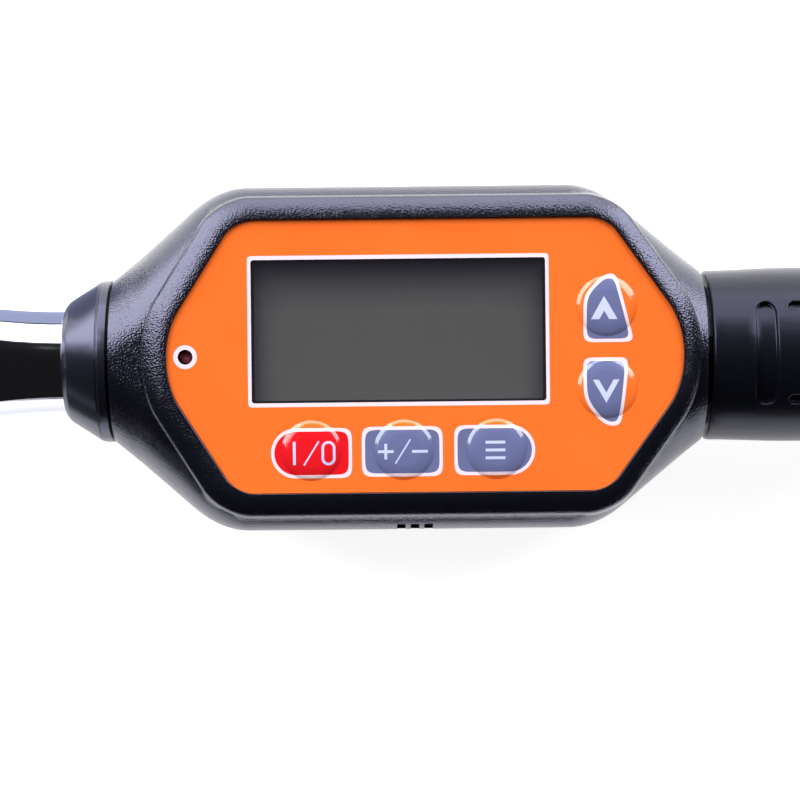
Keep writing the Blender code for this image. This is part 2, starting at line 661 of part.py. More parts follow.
def rear_cover(frame, material, cavity, holes):
    """The lower shell with the cell bay, its door seat and the screw bosses."""
    cover = housing_body("rear_cover", frame, material, step=0.0035, segments=4)
    boolean(cover, half_space("above_seam", frame, -GAP / 2, 0.1))
    boolean(cover, cavity)
    contact_face = CELL_LENGTH / 2 + CONTACT_THICKNESS + 2 * GAP
    bm = bmesh.new()
    for place in boss_places():
        add_cylinder(bm, BOSS_RADIUS, INNER_BACK_Z - WALL / 2, -GAP, place, 14)
    boolean(cover, add_object("rear_bosses", finish_mesh(bm, "rear_bosses"), frame), "UNION")
    bm = bmesh.new()
    edge = DOOR_LEDGE + GAP
    pad_half = DOOR_HALF_WIDTH + edge
    pad_low = INNER_BACK_Z - WALL / 4
    add_box(bm, (DOOR_FRONT_X - edge, -pad_half, pad_low), (DOOR_REAR_X + edge, pad_half, LEDGE_TOP_Z))
    boolean(cover, add_object("bay_pad", finish_mesh(bm, "bay_pad", False), frame), "UNION")
    bm = bmesh.new()
    front_rib = CELL_X - contact_face - CONTACT_SPACE
    rear_rib = CELL_X + contact_face
    rib_bottom = LEDGE_TOP_Z - SINK
    for rib in (front_rib - RIB_THICKNESS, rear_rib):
        add_box(bm, (rib, -RIB_HALF_WIDTH, rib_bottom), (rib + RIB_THICKNESS, RIB_HALF_WIDTH, RIB_TOP_Z))
    add_cylinder(bm, DOOR_BOSS_RADIUS, rib_bottom, DOOR_BOSS_TOP_Z, (DOOR_SCREW_X, 0), 16)
    boolean(cover, add_object("bay_ribs", finish_mesh(bm, "bay_ribs", False), frame), "UNION")
    boolean(cover, holes)
    bm = bmesh.new()
    for place in boss_places():
        add_cylinder(bm, CASE_SCREW_RADIUS + GAP, INNER_BACK_Z - WALL, REACH, place, 12)
    boss_end = DOOR_BOSS_TOP_Z - WALL / 2
    add_cylinder(bm, DOOR_SCREW_RADIUS + GAP, DOOR_SEAT_Z - REACH, boss_end, (DOOR_SCREW_X, 0), 12)
    boolean(cover, add_object("screw_ways", finish_mesh(bm, "screw_ways"), frame))
    bm = bmesh.new()
    sink = HOUSING_BACK_Z + CASE_SCREW_SINK + CASE_SCREW_HEAD_HEIGHT + GAP
    for place in boss_places():
        add_cylinder(bm, CASE_SCREW_HEAD_RADIUS + GAP, HOUSING_BACK_Z - WALL, sink, place, 16)
    door_x = (DOOR_FRONT_X + DOOR_REAR_X) / 2
    door_length = DOOR_REAR_X - DOOR_FRONT_X
    seat = rounded_rectangle(door_x, 0, door_length + 2 * GAP, 2 * (DOOR_HALF_WIDTH + GAP), DOOR_CORNER)
    add_prism(bm, seat, HOUSING_BACK_Z - WALL, DOOR_SEAT_Z)
    boolean(cover, add_object("door_seat", finish_mesh(bm, "door_seat", False), frame))
    bm = bmesh.new()
    bay_front = front_rib + GAP
    bay_rear = rear_rib - GAP
    bay = rectangle((bay_front + bay_rear) / 2, 0, bay_rear - bay_front, 2 * (DOOR_HALF_WIDTH - DOOR_LEDGE))
    add_prism(bm, bay, HOUSING_BACK_Z, LEDGE_TOP_Z + SINK / 2)
    boolean(cover, add_object("bay_opening", finish_mesh(bm, "bay_opening", False), frame))
    return cover


def battery_door(frame, material):
    """The flush door in the back, with a sunk seat for its screw."""
    door_x = (DOOR_FRONT_X + DOOR_REAR_X) / 2
    bm = bmesh.new()
    door_length = DOOR_REAR_X - DOOR_FRONT_X
    outline = rounded_rectangle(door_x, 0, door_length, 2 * DOOR_HALF_WIDTH, DOOR_CORNER - GAP)
    add_prism(bm, outline, HOUSING_BACK_Z, HOUSING_BACK_Z + DOOR_THICKNESS)
    door = add_object("battery_door", finish_mesh(bm, "battery_door", False), frame, material)
    top = HOUSING_BACK_Z + DOOR_THICKNESS + WALL
    seat = HOUSING_BACK_Z + DOOR_THICKNESS / 2
    hole = DOOR_SCREW_RADIUS + GAP
    sink = DOOR_SCREW_HEAD_RADIUS + GAP
    low = HOUSING_BACK_Z - WALL
    profile = ((0, top), (hole, top), (hole, seat), (sink, seat), (sink, low), (0, low))
    boolean(door, turned("door_screw_hole", profile, frame, place=(DOOR_SCREW_X, 0, 0), steps=16))
    return door


def screw(name, frame, material, place, tip, head_radius, head_height, radius, length, up=True):
    """A pan head screw: its head's outer face at tip, its shank running up or down."""
    way = 1 if up else -1
    seat = tip + way * head_height
    point = seat + way * length
    profile = [(0, tip), (head_radius * 0.8, tip), (head_radius, tip + way * head_height * 0.3),
               (head_radius, seat), (radius, seat), (radius, point - way * radius), (0, point)]
    if up:
        profile.reverse()
    return turned(name, profile, frame, material, place=place, steps=10)


def key(name, frame, material, centre):
    """One embossed key dome with the stem that presses its switch."""
    rim = PANEL_TOP_Z + KEY_RIM_RISE
    base = FLOOR_Z + KEY_TRAVEL + GAP
    profile = [(0, PANEL_TOP_Z + KEY_RISE)]
    for i in range(1, 3):
        share = i / 3
        profile.append((KEY_RADIUS * share, rim + (KEY_RISE - KEY_RIM_RISE) * cos(share * pi / 2)))
    stem_end = SWITCH_TOP_Z + KEY_TRAVEL + GAP
    profile += [(KEY_RADIUS, rim), (KEY_RADIUS, base), (KEY_STEM_RADIUS, base),
                (KEY_STEM_RADIUS, stem_end), (0, stem_end)]
    holder = add_empty(name + "_place", (centre[0], centre[1], 0), frame)
    return turned(name, profile, holder, material, steps=16)


def membrane_overlay(frame, material):
    """The panel film with its openings for the window, the keys and the lamp."""
    bm = bmesh.new()
    add_prism(bm, panel_outline(-GAP), PANEL_BOTTOM_Z, PANEL_TOP_Z)
    overlay = add_object("membrane_overlay", finish_mesh(bm, "membrane_overlay", False), frame, material)
    bm = bmesh.new()
    window = rectangle(WINDOW_X, WINDOW_Y, WINDOW_LENGTH + 2 * GAP, WINDOW_WIDTH + 2 * GAP)
    add_prism(bm, window, PANEL_BOTTOM_Z - WALL, PANEL_TOP_Z + WALL)
    for place in KEYS.values():
        add_cylinder(bm, KEY_RADIUS + GAP, PANEL_BOTTOM_Z - WALL, PANEL_TOP_Z + WALL, place, 16)
    add_cylinder(bm, LAMP_HOLE_RADIUS, PANEL_BOTTOM_Z - WALL, PANEL_TOP_Z + WALL, (LAMP_X, LAMP_Y), 16)
    boolean(overlay, add_object("overlay_openings", finish_mesh(bm, "overlay_openings", False), frame))
    return overlay


def block(name, frame, material, low, high):
    """A plain block that is a piece of its own."""
    bm = bmesh.new()
    add_box(bm, low, high)
    return add_object(name, finish_mesh(bm, name, False), frame, material)


def circuit_board(frame, material):
    """The board under the panel, notched round the screw bosses and ending before the tube."""
    bm = bmesh.new()
    add_prism(bm, panel_outline(-BOARD_INSET, 4, 2), BOARD_BOTTOM_Z, BOARD_TOP_Z)
    board = add_object("circuit_board", finish_mesh(bm, "circuit_board", False), frame, material)
    bm = bmesh.new()
    for place in boss_places():
        add_cylinder(bm, BOSS_RADIUS + GAP, BOARD_BOTTOM_Z - WALL, BOARD_TOP_Z + WALL, place, 14)
    tail = (TUBE_FRONT_X - GAP, -HOUSING_HALF_WIDTH, BOARD_BOTTOM_Z - WALL)
    add_box(bm, tail, (HOUSING_REAR_X, HOUSING_HALF_WIDTH, BOARD_TOP_Z + WALL))
    boolean(board, add_object("board_notches", finish_mesh(bm, "board_notches"), frame))
    return board


def cells(frame, can, nickel):
    """Two cells lying head to tail, with their springs and contact plates."""
    spring_room = CONTACT_SPACE - CONTACT_THICKNESS - GAP
    for index, side in enumerate((-1, 1)):
        y = side * CELL_SPACING / 2
        half = CELL_LENGTH / 2
        shoulder = half - CELL_NUB_HEIGHT
        profile = ((0, half), (CELL_NUB_RADIUS, half), (CELL_NUB_RADIUS, shoulder),
                   (CELL_RADIUS - CELL_EDGE, shoulder), (CELL_RADIUS, shoulder - CELL_EDGE),
                   (CELL_RADIUS, -half + CELL_EDGE), (CELL_RADIUS - CELL_EDGE, -half), (0, -half))
        number = str(index + 1)
        turned("battery_" + number, profile, frame, can, (CELL_X, y, CELL_Z), ALONG_X, 16)
        coil("battery_spring_" + number, frame, nickel, CELL_SPRING_RADIUS, CELL_SPRING_WIRE,
             -half - GAP - CELL_SPRING_WIRE, -half + GAP - spring_room, 2.5, (CELL_X, y, CELL_Z), ALONG_X)
        low = CELL_Z - CONTACT_HEIGHT / 2 + CONTACT_MARGIN
        high = CELL_Z + CONTACT_HEIGHT / 2
        width = CELL_RADIUS - CONTACT_MARGIN
        for end, x in (("front", CELL_X - half - 2 * GAP - CONTACT_SPACE), ("rear", CELL_X + half + GAP)):
            block(f"contact_plate_{end}_{number}", frame, nickel, (x, y - width, low),
                  (x + CONTACT_THICKNESS, y + width, high))


def neck_collar(frame, material):
    """The tapered collar round the neck, with the spigot that enters the housing."""
    lip_end = COLLAR_LENGTH
    bore = NECK_RADIUS + GAP
    profile = [(bore, 0), (bore, lip_end + SPIGOT_LENGTH), (SPIGOT_RADIUS, lip_end + SPIGOT_LENGTH),
               (SPIGOT_RADIUS, lip_end), (COLLAR_LIP_RADIUS, lip_end),
               (COLLAR_LIP_RADIUS, lip_end - COLLAR_LIP_LENGTH)]
    profile += [(COLLAR_NOSE_RADIUS, COLLAR_NOSE_LENGTH)]
    rounding = COLLAR_NOSE_RADIUS - bore - COLLAR_FACE
    for i in range(1, 3):
        angle = i * pi / 4
        profile.append((COLLAR_NOSE_RADIUS - rounding * (1 - cos(angle)),
                        COLLAR_NOSE_LENGTH * (1 - sin(angle))))
    return turned("neck_collar", profile, frame, material, (COLLAR_FRONT_X, 0, 0), ALONG_X, 30, ring=True)


def ring_piece(name, frame, material, start, end, inner, outer, steps=24):
    """A plain ring or tube along the X axis."""
    length = end - start
    profile = ((outer, length), (outer, 0), (inner, 0), (inner, length))
    return turned(name, profile, frame, material, (start, 0, 0), ALONG_X, steps, ring=True)


def pear_outline(head_radius, tail_radius, steps=18):
    """The head's plan: two circles on the wrench's axis and their common tangents."""
    tangent = pi / 2 - asin((head_radius - tail_radius) / LEVER_OFFSET)
    outline = []
    for i in range(steps + 1):
        angle = tangent + (2 * pi - 2 * tangent) * i / steps
        outline.append((head_radius * cos(angle), head_radius * sin(angle)))
    for i in range(steps // 2 + 1):
        angle = -tangent + 2 * tangent * i / (steps // 2)
        outline.append((LEVER_OFFSET + tail_radius * cos(angle), tail_radius * sin(angle)))
    return outline


def shank_rings():
    """Sections of the neck, the sensing beam and the round tail, from the head to the tube."""
    start = HEAD_X + LEVER_OFFSET + NECK_ROOT_OFFSET
    flare_end = COLLAR_FRONT_X - NECK_STRAIGHT
    segments = 4
    rings = []
    for i in range(8):
        share = i / 7
        ease = share * share * (3 - 2 * share)
        x = start + (flare_end - start) * share
        width = NECK_ROOT_HALF_WIDTH + (NECK_RADIUS - NECK_ROOT_HALF_WIDTH) * ease
        height = NECK_ROOT_HALF_HEIGHT + (NECK_RADIUS - NECK_ROOT_HALF_HEIGHT) * ease
        radius = NECK_ROOT_CORNER + (NECK_RADIUS - NECK_ROOT_CORNER) * ease
        rings.append(rounded_section(x, width, height, -height, radius, radius, segments))
    neck = (NECK_RADIUS, NECK_RADIUS, NECK_RADIUS)
    beam = (BEAM_HALF_WIDTH, BEAM_HALF_HEIGHT, BEAM_CORNER)
    tail = (BEAM_TAIL_RADIUS, BEAM_TAIL_RADIUS, BEAM_TAIL_RADIUS)
    steps = ((BEAM_FRONT_X - BEAM_RUNOUT, neck), (BEAM_FRONT_X, beam), (BEAM_REAR_X, beam),
             (BEAM_REAR_X + BEAM_RUNOUT, tail), (BEAM_TAIL_END_X, tail))
    for x, (width, height, radius) in steps:
        rings.append(rounded_section(x, width, height, -height, radius, radius, segments))
    return rings


def plate_screw_places():
    """Middles of the cover plate's screws, from the gear's axis."""
    places = [(PLATE_SCREW_CIRCLE * cos(angle), PLATE_SCREW_CIRCLE * sin(angle))
              for angle in (PLATE_SCREW_ANGLE, -PLATE_SCREW_ANGLE)]
    places.append((LEVER_OFFSET + PLATE_SCREW_TAIL, 0.0))
    return places


def ratchet_head(frame, material):
    """The forged head, its neck and the sensing beam, in one piece, with the mechanism's bay."""
    bm = bmesh.new()
    add_prism(bm, pear_outline(HEAD_RADIUS, HEAD_TAIL_RADIUS), -HEAD_HALF_HEIGHT, HEAD_HALF_HEIGHT)
    rims = [edge for edge in bm.edges if abs(edge.verts[0].co.z - edge.verts[1].co.z) < 1e-6]
    bmesh.ops.bevel(bm, geom=rims, offset=HEAD_EDGE, segments=2, profile=0.5, affect="EDGES", material=-1)
    bmesh.ops.translate(bm, verts=bm.verts, vec=(HEAD_X, 0, 0))
    head = add_object("ratchet_head", finish_mesh(bm, "ratchet_head"), frame, material)
    bm = bmesh.new()
    add_loft(bm, shank_rings())
    boolean(head, add_object("shank_form", finish_mesh(bm, "shank_form"), frame), "UNION")
    place = (HEAD_X, 0, 0)
    bm = bmesh.new()
    plate = pear_outline(HEAD_RADIUS - PLATE_INSET + GAP, HEAD_TAIL_RADIUS - PLATE_INSET + GAP)
    add_prism(bm, plate, PLATE_SEAT_Z - GAP, HEAD_HALF_HEIGHT + 2 * REACH)
    boolean(head, add_object("plate_seat", finish_mesh(bm, "plate_seat"), frame, place=place))
    bm = bmesh.new()
    add_cylinder(bm, GEAR_TIP_RADIUS + GEAR_BORE_CLEARANCE, GEAR_FLOOR_Z, HEAD_HALF_HEIGHT, segments=36)
    boolean(head, add_object("gear_bore", finish_mesh(bm, "gear_bore"), frame, place=place))
    bm = bmesh.new()
    upper = [(PAWL_PIN_OFFSET + x, y) for x, y in PAWL_BAY]
    bay = upper + [(x, -y) for x, y in reversed(upper)]
    add_prism(bm, bay, GEAR_FLOOR_Z + BAY_STEP, HEAD_HALF_HEIGHT + REACH / 2)
    boolean(head, add_object("pawl_bay", finish_mesh(bm, "pawl_bay", False), frame, place=place))
    bm = bmesh.new()
    lever_floor = GEAR_FLOOR_Z - 2 * BAY_STEP
    add_cylinder(bm, LEVER_SHAFT_RADIUS + GAP, lever_floor, HEAD_HALF_HEIGHT, (LEVER_OFFSET, 0), 32)
    boolean(head, add_object("lever_bore", finish_mesh(bm, "lever_bore"), frame, place=place))
    bm = bmesh.new()
    add_cylinder(bm, GEAR_JOURNAL_RADIUS + GAP, -HEAD_HALF_HEIGHT - 2 * REACH, 0.0, segments=24)
    pin_floor = GEAR_FLOOR_Z - PAWL_PIN_SINK - GAP
    add_cylinder(bm, PAWL_PIN_RADIUS + GAP, pin_floor, 0.0, (PAWL_PIN_OFFSET, 0), 16)
    screw_floor = PLATE_SEAT_Z - PLATE_SCREW_LENGTH
    for spot in plate_screw_places():
        add_cylinder(bm, PLATE_SCREW_RADIUS + GAP, screw_floor, HEAD_HALF_HEIGHT, spot, 12)
    boolean(head, add_object("head_holes", finish_mesh(bm, "head_holes"), frame, place=place))
    bm = bmesh.new()
    for x in PIN_PLACES.values():
        add_cylinder(bm, PIN_RADIUS + GAP, -TUBE_RADIUS, TUBE_RADIUS, (x, 0), 16)
    boolean(head, add_object("tail_pin_holes", finish_mesh(bm, "tail_pin_holes"), frame))
    return head


def gear_outline():
    """The drive gear's teeth, even on both flanks, with a gap centred on the X axis."""
    pitch = 2 * pi / GEAR_TEETH
    tooth = ((GEAR_ROOT_RADIUS, -0.42), (GEAR_TIP_RADIUS, -0.10),
             (GEAR_TIP_RADIUS, 0.10), (GEAR_ROOT_RADIUS, 0.42))
    outline = []
    for i in range(GEAR_TEETH):
        for radius, share in tooth:
            angle = (i + 0.5 + share) * pitch
            outline.append((radius * cos(angle), radius * sin(angle)))
    return outline


def square_rings():
    """The square drive from its root to its bevelled end."""
    half = SQUARE_SIZE / 2
    rings = []
    steps = ((0.0, SQUARE_TOP_Z + SQUARE_ROOT), (0.0, SQUARE_END_Z + SQUARE_FOOT),
             (SQUARE_FOOT * 0.6, SQUARE_END_Z))
    for inset, z in steps:
        side = half - inset
        corner = SQUARE_CORNER
        flat = side - corner
        points = ((side, -flat), (side, flat), (flat, side), (-flat, side),
                  (-side, flat), (-side, -flat), (-flat, -side), (flat, -side))
        rings.append([(x, y, z) for x, y in points])
    return rings


def drive_gear(frame, material):
    """The toothed drive: gear, bearing journals and the square with its ball hole."""
    bm = bmesh.new()
    add_prism(bm, gear_outline(), -GEAR_HALF_HEIGHT, GEAR_HALF_HEIGHT)
    gear = add_object("drive_gear", finish_mesh(bm, "drive_gear", False), frame, material)
    top = HEAD_HALF_HEIGHT - GAP
    profile = ((0, top - EDGE), (GEAR_BOSS_RADIUS - GEAR_DISH_RIM, top), (GEAR_BOSS_RADIUS - EDGE, top),
               (GEAR_BOSS_RADIUS, top - EDGE), (GEAR_BOSS_RADIUS, 0), (GEAR_JOURNAL_RADIUS, -REACH),
               (GEAR_JOURNAL_RADIUS, SQUARE_TOP_Z + EDGE), (GEAR_JOURNAL_RADIUS - EDGE, SQUARE_TOP_Z),
               (0, SQUARE_TOP_Z))
    boolean(gear, turned("journal_form", profile, frame, steps=24), "UNION")
    bm = bmesh.new()
    add_loft(bm, square_rings())
    boolean(gear, add_object("square_form", finish_mesh(bm, "square_form", False), frame), "UNION")
    bm = bmesh.new()
    depth = BALL_RADIUS * 4
    matrix = Matrix.Rotation(pi / 2, 4, "Y")
    bmesh.ops.create_cone(bm, cap_ends=True, segments=16, radius1=BALL_RADIUS + GAP,
                          radius2=BALL_RADIUS + GAP, depth=depth, matrix=matrix)
    spot = (-SQUARE_SIZE / 2 - REACH + depth / 2, 0, SQUARE_END_Z + BALL_HEIGHT)
    boolean(gear, add_object("ball_hole", finish_mesh(bm, "ball_hole"), frame, place=spot))
    return gear


def detent(frame, steel, wire_steel):
    """The ball that holds a socket on the square, and its spring."""
    bm = bmesh.new()
    bmesh.ops.create_uvsphere(bm, u_segments=12, v_segments=6, radius=BALL_RADIUS)
    ball_x = -SQUARE_SIZE / 2 + BALL_RADIUS - BALL_PROUD
    height = SQUARE_END_Z + BALL_HEIGHT
    add_object("detent_ball", finish_mesh(bm, "detent_ball"), frame, steel, (ball_x, 0, height))
    start = ball_x + BALL_RADIUS + BALL_TRAVEL + GAP + DETENT_WIRE
    end = -SQUARE_SIZE / 2 - REACH + BALL_RADIUS * 4 - GAP - DETENT_WIRE
    coil("detent_spring", frame, wire_steel, BALL_RADIUS - DETENT_WIRE, DETENT_WIRE, 0, end - start, 2.5,
         (start, 0, height), ALONG_X)


def pawl_outline():
    """The pawl in its middle position: two mirrored arms, each with two teeth."""
    pivot = Vector((PAWL_PIN_OFFSET, 0))
    tip = GEAR_ROOT_RADIUS + PAWL_TIP_CLEARANCE
    valley = GEAR_TIP_RADIUS + PAWL_VALLEY_CLEARANCE
    pitch = 360 / GEAR_TEETH
    engaged = [(pitch * 1.4, valley + GAP * 0.6), (pitch * 2.4, valley)]
    for gap in (3, 4):
        middle = gap * pitch
        engaged += [(middle - PAWL_HALF_TOOTH, valley), (middle, tip), (middle + PAWL_HALF_TOOTH, valley)]
    engaged += [(pitch * 4.65, valley)]
    arm = []
    for degrees, radius in engaged:
        angle = radians(degrees)
        point = Vector((radius * cos(angle), radius * sin(angle))) - pivot
        turned_back = Matrix.Rotation(-PAWL_ROCK, 2) @ point + pivot
        arm.append((turned_back.x, turned_back.y))
    upper = arm + [(PAWL_PIN_OFFSET + x, y) for x, y in PAWL_BACK]
    lower = [(x, -y) for x, y in reversed(upper)]
    return [(GEAR_TIP_RADIUS + 2 * GAP, 0)] + upper + [(PAWL_PIN_OFFSET + PAWL_HEEL, 0)] + lower


def pawl(frame, material):
    """The double pawl, rocked so that one arm's teeth stand in the gear."""
    bm = bmesh.new()
    outline = [(x - PAWL_PIN_OFFSET, y) for x, y in pawl_outline()]
    add_prism(bm, outline, -GEAR_HALF_HEIGHT, GEAR_HALF_HEIGHT)
    item = add_object("pawl", finish_mesh(bm, "pawl", False), frame, material)
    bm = bmesh.new()
    add_cylinder(bm, PAWL_PIN_RADIUS + GAP, -HEAD_HALF_HEIGHT, HEAD_HALF_HEIGHT, segments=16)
    boolean(item, add_object("pawl_bore", finish_mesh(bm, "pawl_bore"), frame))
    return item


def head_cover_plate(frame, material):
    """The pear shaped plate that closes the mechanism's bay."""
    bm = bmesh.new()
    outline = pear_outline(HEAD_RADIUS - PLATE_INSET, HEAD_TAIL_RADIUS - PLATE_INSET)
    add_prism(bm, outline, PLATE_SEAT_Z, HEAD_HALF_HEIGHT)
    plate = add_object("head_cover_plate", finish_mesh(bm, "head_cover_plate"), frame, material)
    bm = bmesh.new()
    low = PLATE_SEAT_Z - REACH
    top = HEAD_HALF_HEIGHT + REACH
    add_cylinder(bm, GEAR_BOSS_RADIUS + GAP, low, top, segments=24)
    add_cylinder(bm, LEVER_NECK_RADIUS + GAP, low, top, (LEVER_OFFSET, 0), 24)
    boolean(plate, add_object("plate_holes", finish_mesh(bm, "plate_holes"), frame))
    seat = HEAD_HALF_HEIGHT - PLATE_SCREW_HEAD_HEIGHT - PLATE_SCREW_SINK - GAP
    sink = PLATE_SCREW_HEAD_RADIUS + GAP
    hole = PLATE_SCREW_RADIUS + GAP
    profile = ((0, top), (sink, top), (sink, seat), (hole, seat), (hole, low), (0, low))
    for index, (x, y) in enumerate(plate_screw_places()):
        boolean(plate, turned(f"plate_screw_hole_{index}", profile, frame, place=(x, y, 0), steps=10))
    return plate


def reversing_lever(frame, material):
    """The lever with its thumb tab above the plate and its drilled shaft below."""
    top = HEAD_HALF_HEIGHT + GAP
    shoulder = PLATE_SEAT_Z - GAP
    cap = top + LEVER_TAB_HEIGHT
    radius = LEVER_NECK_RADIUS + LEVER_CAP_RIM
    profile = ((0, cap), (radius - EDGE, cap), (radius, cap - EDGE), (radius, top), (LEVER_NECK_RADIUS, top),
               (LEVER_NECK_RADIUS, shoulder), (LEVER_SHAFT_RADIUS, shoulder),
               (LEVER_SHAFT_RADIUS, GEAR_FLOOR_Z + GAP), (0, GEAR_FLOOR_Z + GAP))
    lever = turned("reversing_lever", profile, frame, material, steps=24)
    bm = bmesh.new()
    half = LEVER_TAB_WIDTH / 2
    corners = ((0, -half * 1.5), (LEVER_TAB_LENGTH, -half), (LEVER_TAB_LENGTH, half), (0, half * 1.5))
    outline = rounded_outline(corners, (SINK, half * 0.8, half * 0.8, SINK), (1, 4, 4, 1))
    add_prism(bm, outline, top + SINK, cap - GAP)
    tips = [vert for vert in bm.verts if vert.co.x > LEVER_TAB_LENGTH * 0.6 and vert.co.z > top + REACH]
    bmesh.ops.translate(bm, verts=tips, vec=(0, 0, LEVER_TAB_RISE))
    boolean(lever, add_object("tab_form", finish_mesh(bm, "tab_form", False), frame), "UNION")
    bm = bmesh.new()
    depth = LEVER_SHAFT_RADIUS * 1.6
    matrix = Matrix.Rotation(pi / 2, 4, "Y")
    bmesh.ops.create_cone(bm, cap_ends=True, segments=16, radius1=PLUNGER_RADIUS + GAP,
                          radius2=PLUNGER_RADIUS + GAP, depth=depth, matrix=matrix)
    spot = (-LEVER_SHAFT_RADIUS - REACH + depth / 2, 0, 0)
    boolean(lever, add_object("plunger_hole", finish_mesh(bm, "plunger_hole"), frame, place=spot))
    return lever


def plunger(frame, steel, wire_steel):
    """The sprung plunger that keeps the pawl over to one side."""
    tip = PLUNGER_REACH
    radius = PLUNGER_RADIUS
    end = tip - PLUNGER_LENGTH
    profile = ((0, tip), (radius * 0.5, tip - radius * 0.134), (radius * 0.866, tip - radius * 0.5),
               (radius, tip - radius), (radius, end), (0, end))
    turned("plunger", profile, frame, steel, turn=(0, -pi / 2, 0), steps=12)
    wire = PLUNGER_WIRE
    bottom = LEVER_SHAFT_RADIUS + REACH - LEVER_SHAFT_RADIUS * 1.6 + GAP + wire
    top = end - PLUNGER_TRAVEL - GAP - wire
    coil("plunger_spring", frame, wire_steel, radius - wire, wire, bottom, top, 3.0, turn=(0, -pi / 2, 0))


def grip_radius(x):
    """Outer radius of the grip at a distance from its front end."""
    places = ((0.0, GRIP_FRONT_RADIUS), (GRIP_NECK_AT, GRIP_NECK_RADIUS), (GRIP_SWELL_AT, GRIP_SWELL_RADIUS),
              (GRIP_WAIST_AT, GRIP_WAIST_RADIUS), (GRIP_LENGTH, GRIP_END_RADIUS))
    for (start, first), (end, last) in zip(places, places[1:]):
        if x <= end:
            share = (x - start) / (end - start)
            return first + (last - first) * (1 - cos(pi * share)) / 2
    return GRIP_END_RADIUS


def stadium(half_length, half_width, steps=4):
    """A slot's outline along X, with round ends."""
    outline = []
    for start, side in ((-pi / 2, 1), (pi / 2, -1)):
        for i in range(steps + 1):
            angle = start + pi * i / steps
            middle = side * (half_length - half_width)
            outline.append((middle + half_width * cos(angle), half_width * sin(angle)))
    return outline


def grip(frame, material):
    """The moulded grip: turned, with a cross slot and two long grooves on each of its sides."""
    stations = [GRIP_LENGTH * i / 9 for i in range(1, 10)]
    bore = TUBE_RADIUS + GAP
    outer = [(grip_radius(x), x) for x in stations]
    front = [(GRIP_FRONT_RADIUS, GRIP_CHAMFER), (GRIP_FRONT_RADIUS - GRIP_CHAMFER, 0)]
    profile = list(reversed(outer)) + front + [(bore, 0), (bore, GRIP_LENGTH)]
    item = turned("grip", profile, frame, material, (GRIP_FRONT_X, 0, 0), ALONG_X, 32, ring=True)
    core_profile = [(0, GRIP_LENGTH)] + [(r - GRIP_RECESS_DEPTH, x) for r, x in reversed(outer)]
    core_profile += [(GRIP_FRONT_RADIUS - GRIP_RECESS_DEPTH, 0), (0, 0)]
    core = turned("grip_core", core_profile, frame, None, (GRIP_FRONT_X, 0, 0), ALONG_X, 32)
    bm = bmesh.new()
    base = GRIP_FRONT_RADIUS * 0.7
    high = GRIP_SWELL_RADIUS + 3 * REACH
    groove_angle = asin(GRIP_GROOVE_Y / grip_radius(GRIP_GROOVE_X - GRIP_FRONT_X))
    for side in range(GRIP_SIDES):
        turn = 2 * pi * side / GRIP_SIDES
        old = set(bm.verts)
        across = [(-y, x) for x, y in stadium(GRIP_SLOT_HALF_SPAN, GRIP_SLOT_WIDTH / 2)]
        add_prism(bm, across, base * 0.9, high)
        fresh = [vert for vert in bm.verts if vert not in old]
        place = Matrix.Rotation(turn, 4, "X") @ Matrix.Translation((GRIP_SLOT_X, 0, 0))
        bmesh.ops.transform(bm, matrix=place, verts=fresh)
        for way in (-1, 1):
            old = set(bm.verts)
            add_prism(bm, stadium(GRIP_GROOVE_LENGTH / 2, GRIP_GROOVE_WIDTH / 2, 3), base, high)
            fresh = [vert for vert in bm.verts if vert not in old]
            place = (Matrix.Rotation(turn + way * groove_angle, 4, "X")
                     @ Matrix.Translation((GRIP_GROOVE_X + GRIP_GROOVE_LENGTH / 2, 0, 0)))
            bmesh.ops.transform(bm, matrix=place, verts=fresh)
    cutter = add_object("grip_recesses", finish_mesh(bm, "grip_recesses", False), frame)
    boolean(cutter, core)
    boolean(item, cutter)
    return item


def handle_tube(frame, material):
    """The steel tube inside the grip, drilled for its two cross pins."""
    end = GRIP_REAR_X - TUBE_SETBACK
    tube = ring_piece("handle_tube", frame, material, TUBE_FRONT_X, end, TUBE_BORE, TUBE_RADIUS)
    bm = bmesh.new()
    for x in PIN_PLACES.values():
        add_cylinder(bm, PIN_RADIUS + GAP, -TUBE_RADIUS - REACH, TUBE_RADIUS + REACH, (x, 0), 16)
    boolean(tube, add_object("tube_pin_holes", finish_mesh(bm, "tube_pin_holes"), frame))
    return tube


def end_cap(frame, material):
    """The cap on the grip's end, with the spigot that plugs the tube."""
    spigot = TUBE_BORE - GAP
    end = CAP_END_X - GRIP_REAR_X
    start = -CAP_SPIGOT_LENGTH
    radius = GRIP_END_RADIUS
    profile = ((0, end), (radius - CAP_ROUNDING, end),
               (radius - CAP_ROUNDING * 0.4, end - CAP_ROUNDING * 0.2), (radius, end - CAP_ROUNDING * 0.75),
               (radius, GAP), (spigot, GAP), (spigot, start), (0, start))
    return turned("end_cap", profile, frame, material, (GRIP_REAR_X, 0, 0), ALONG_X, 28)


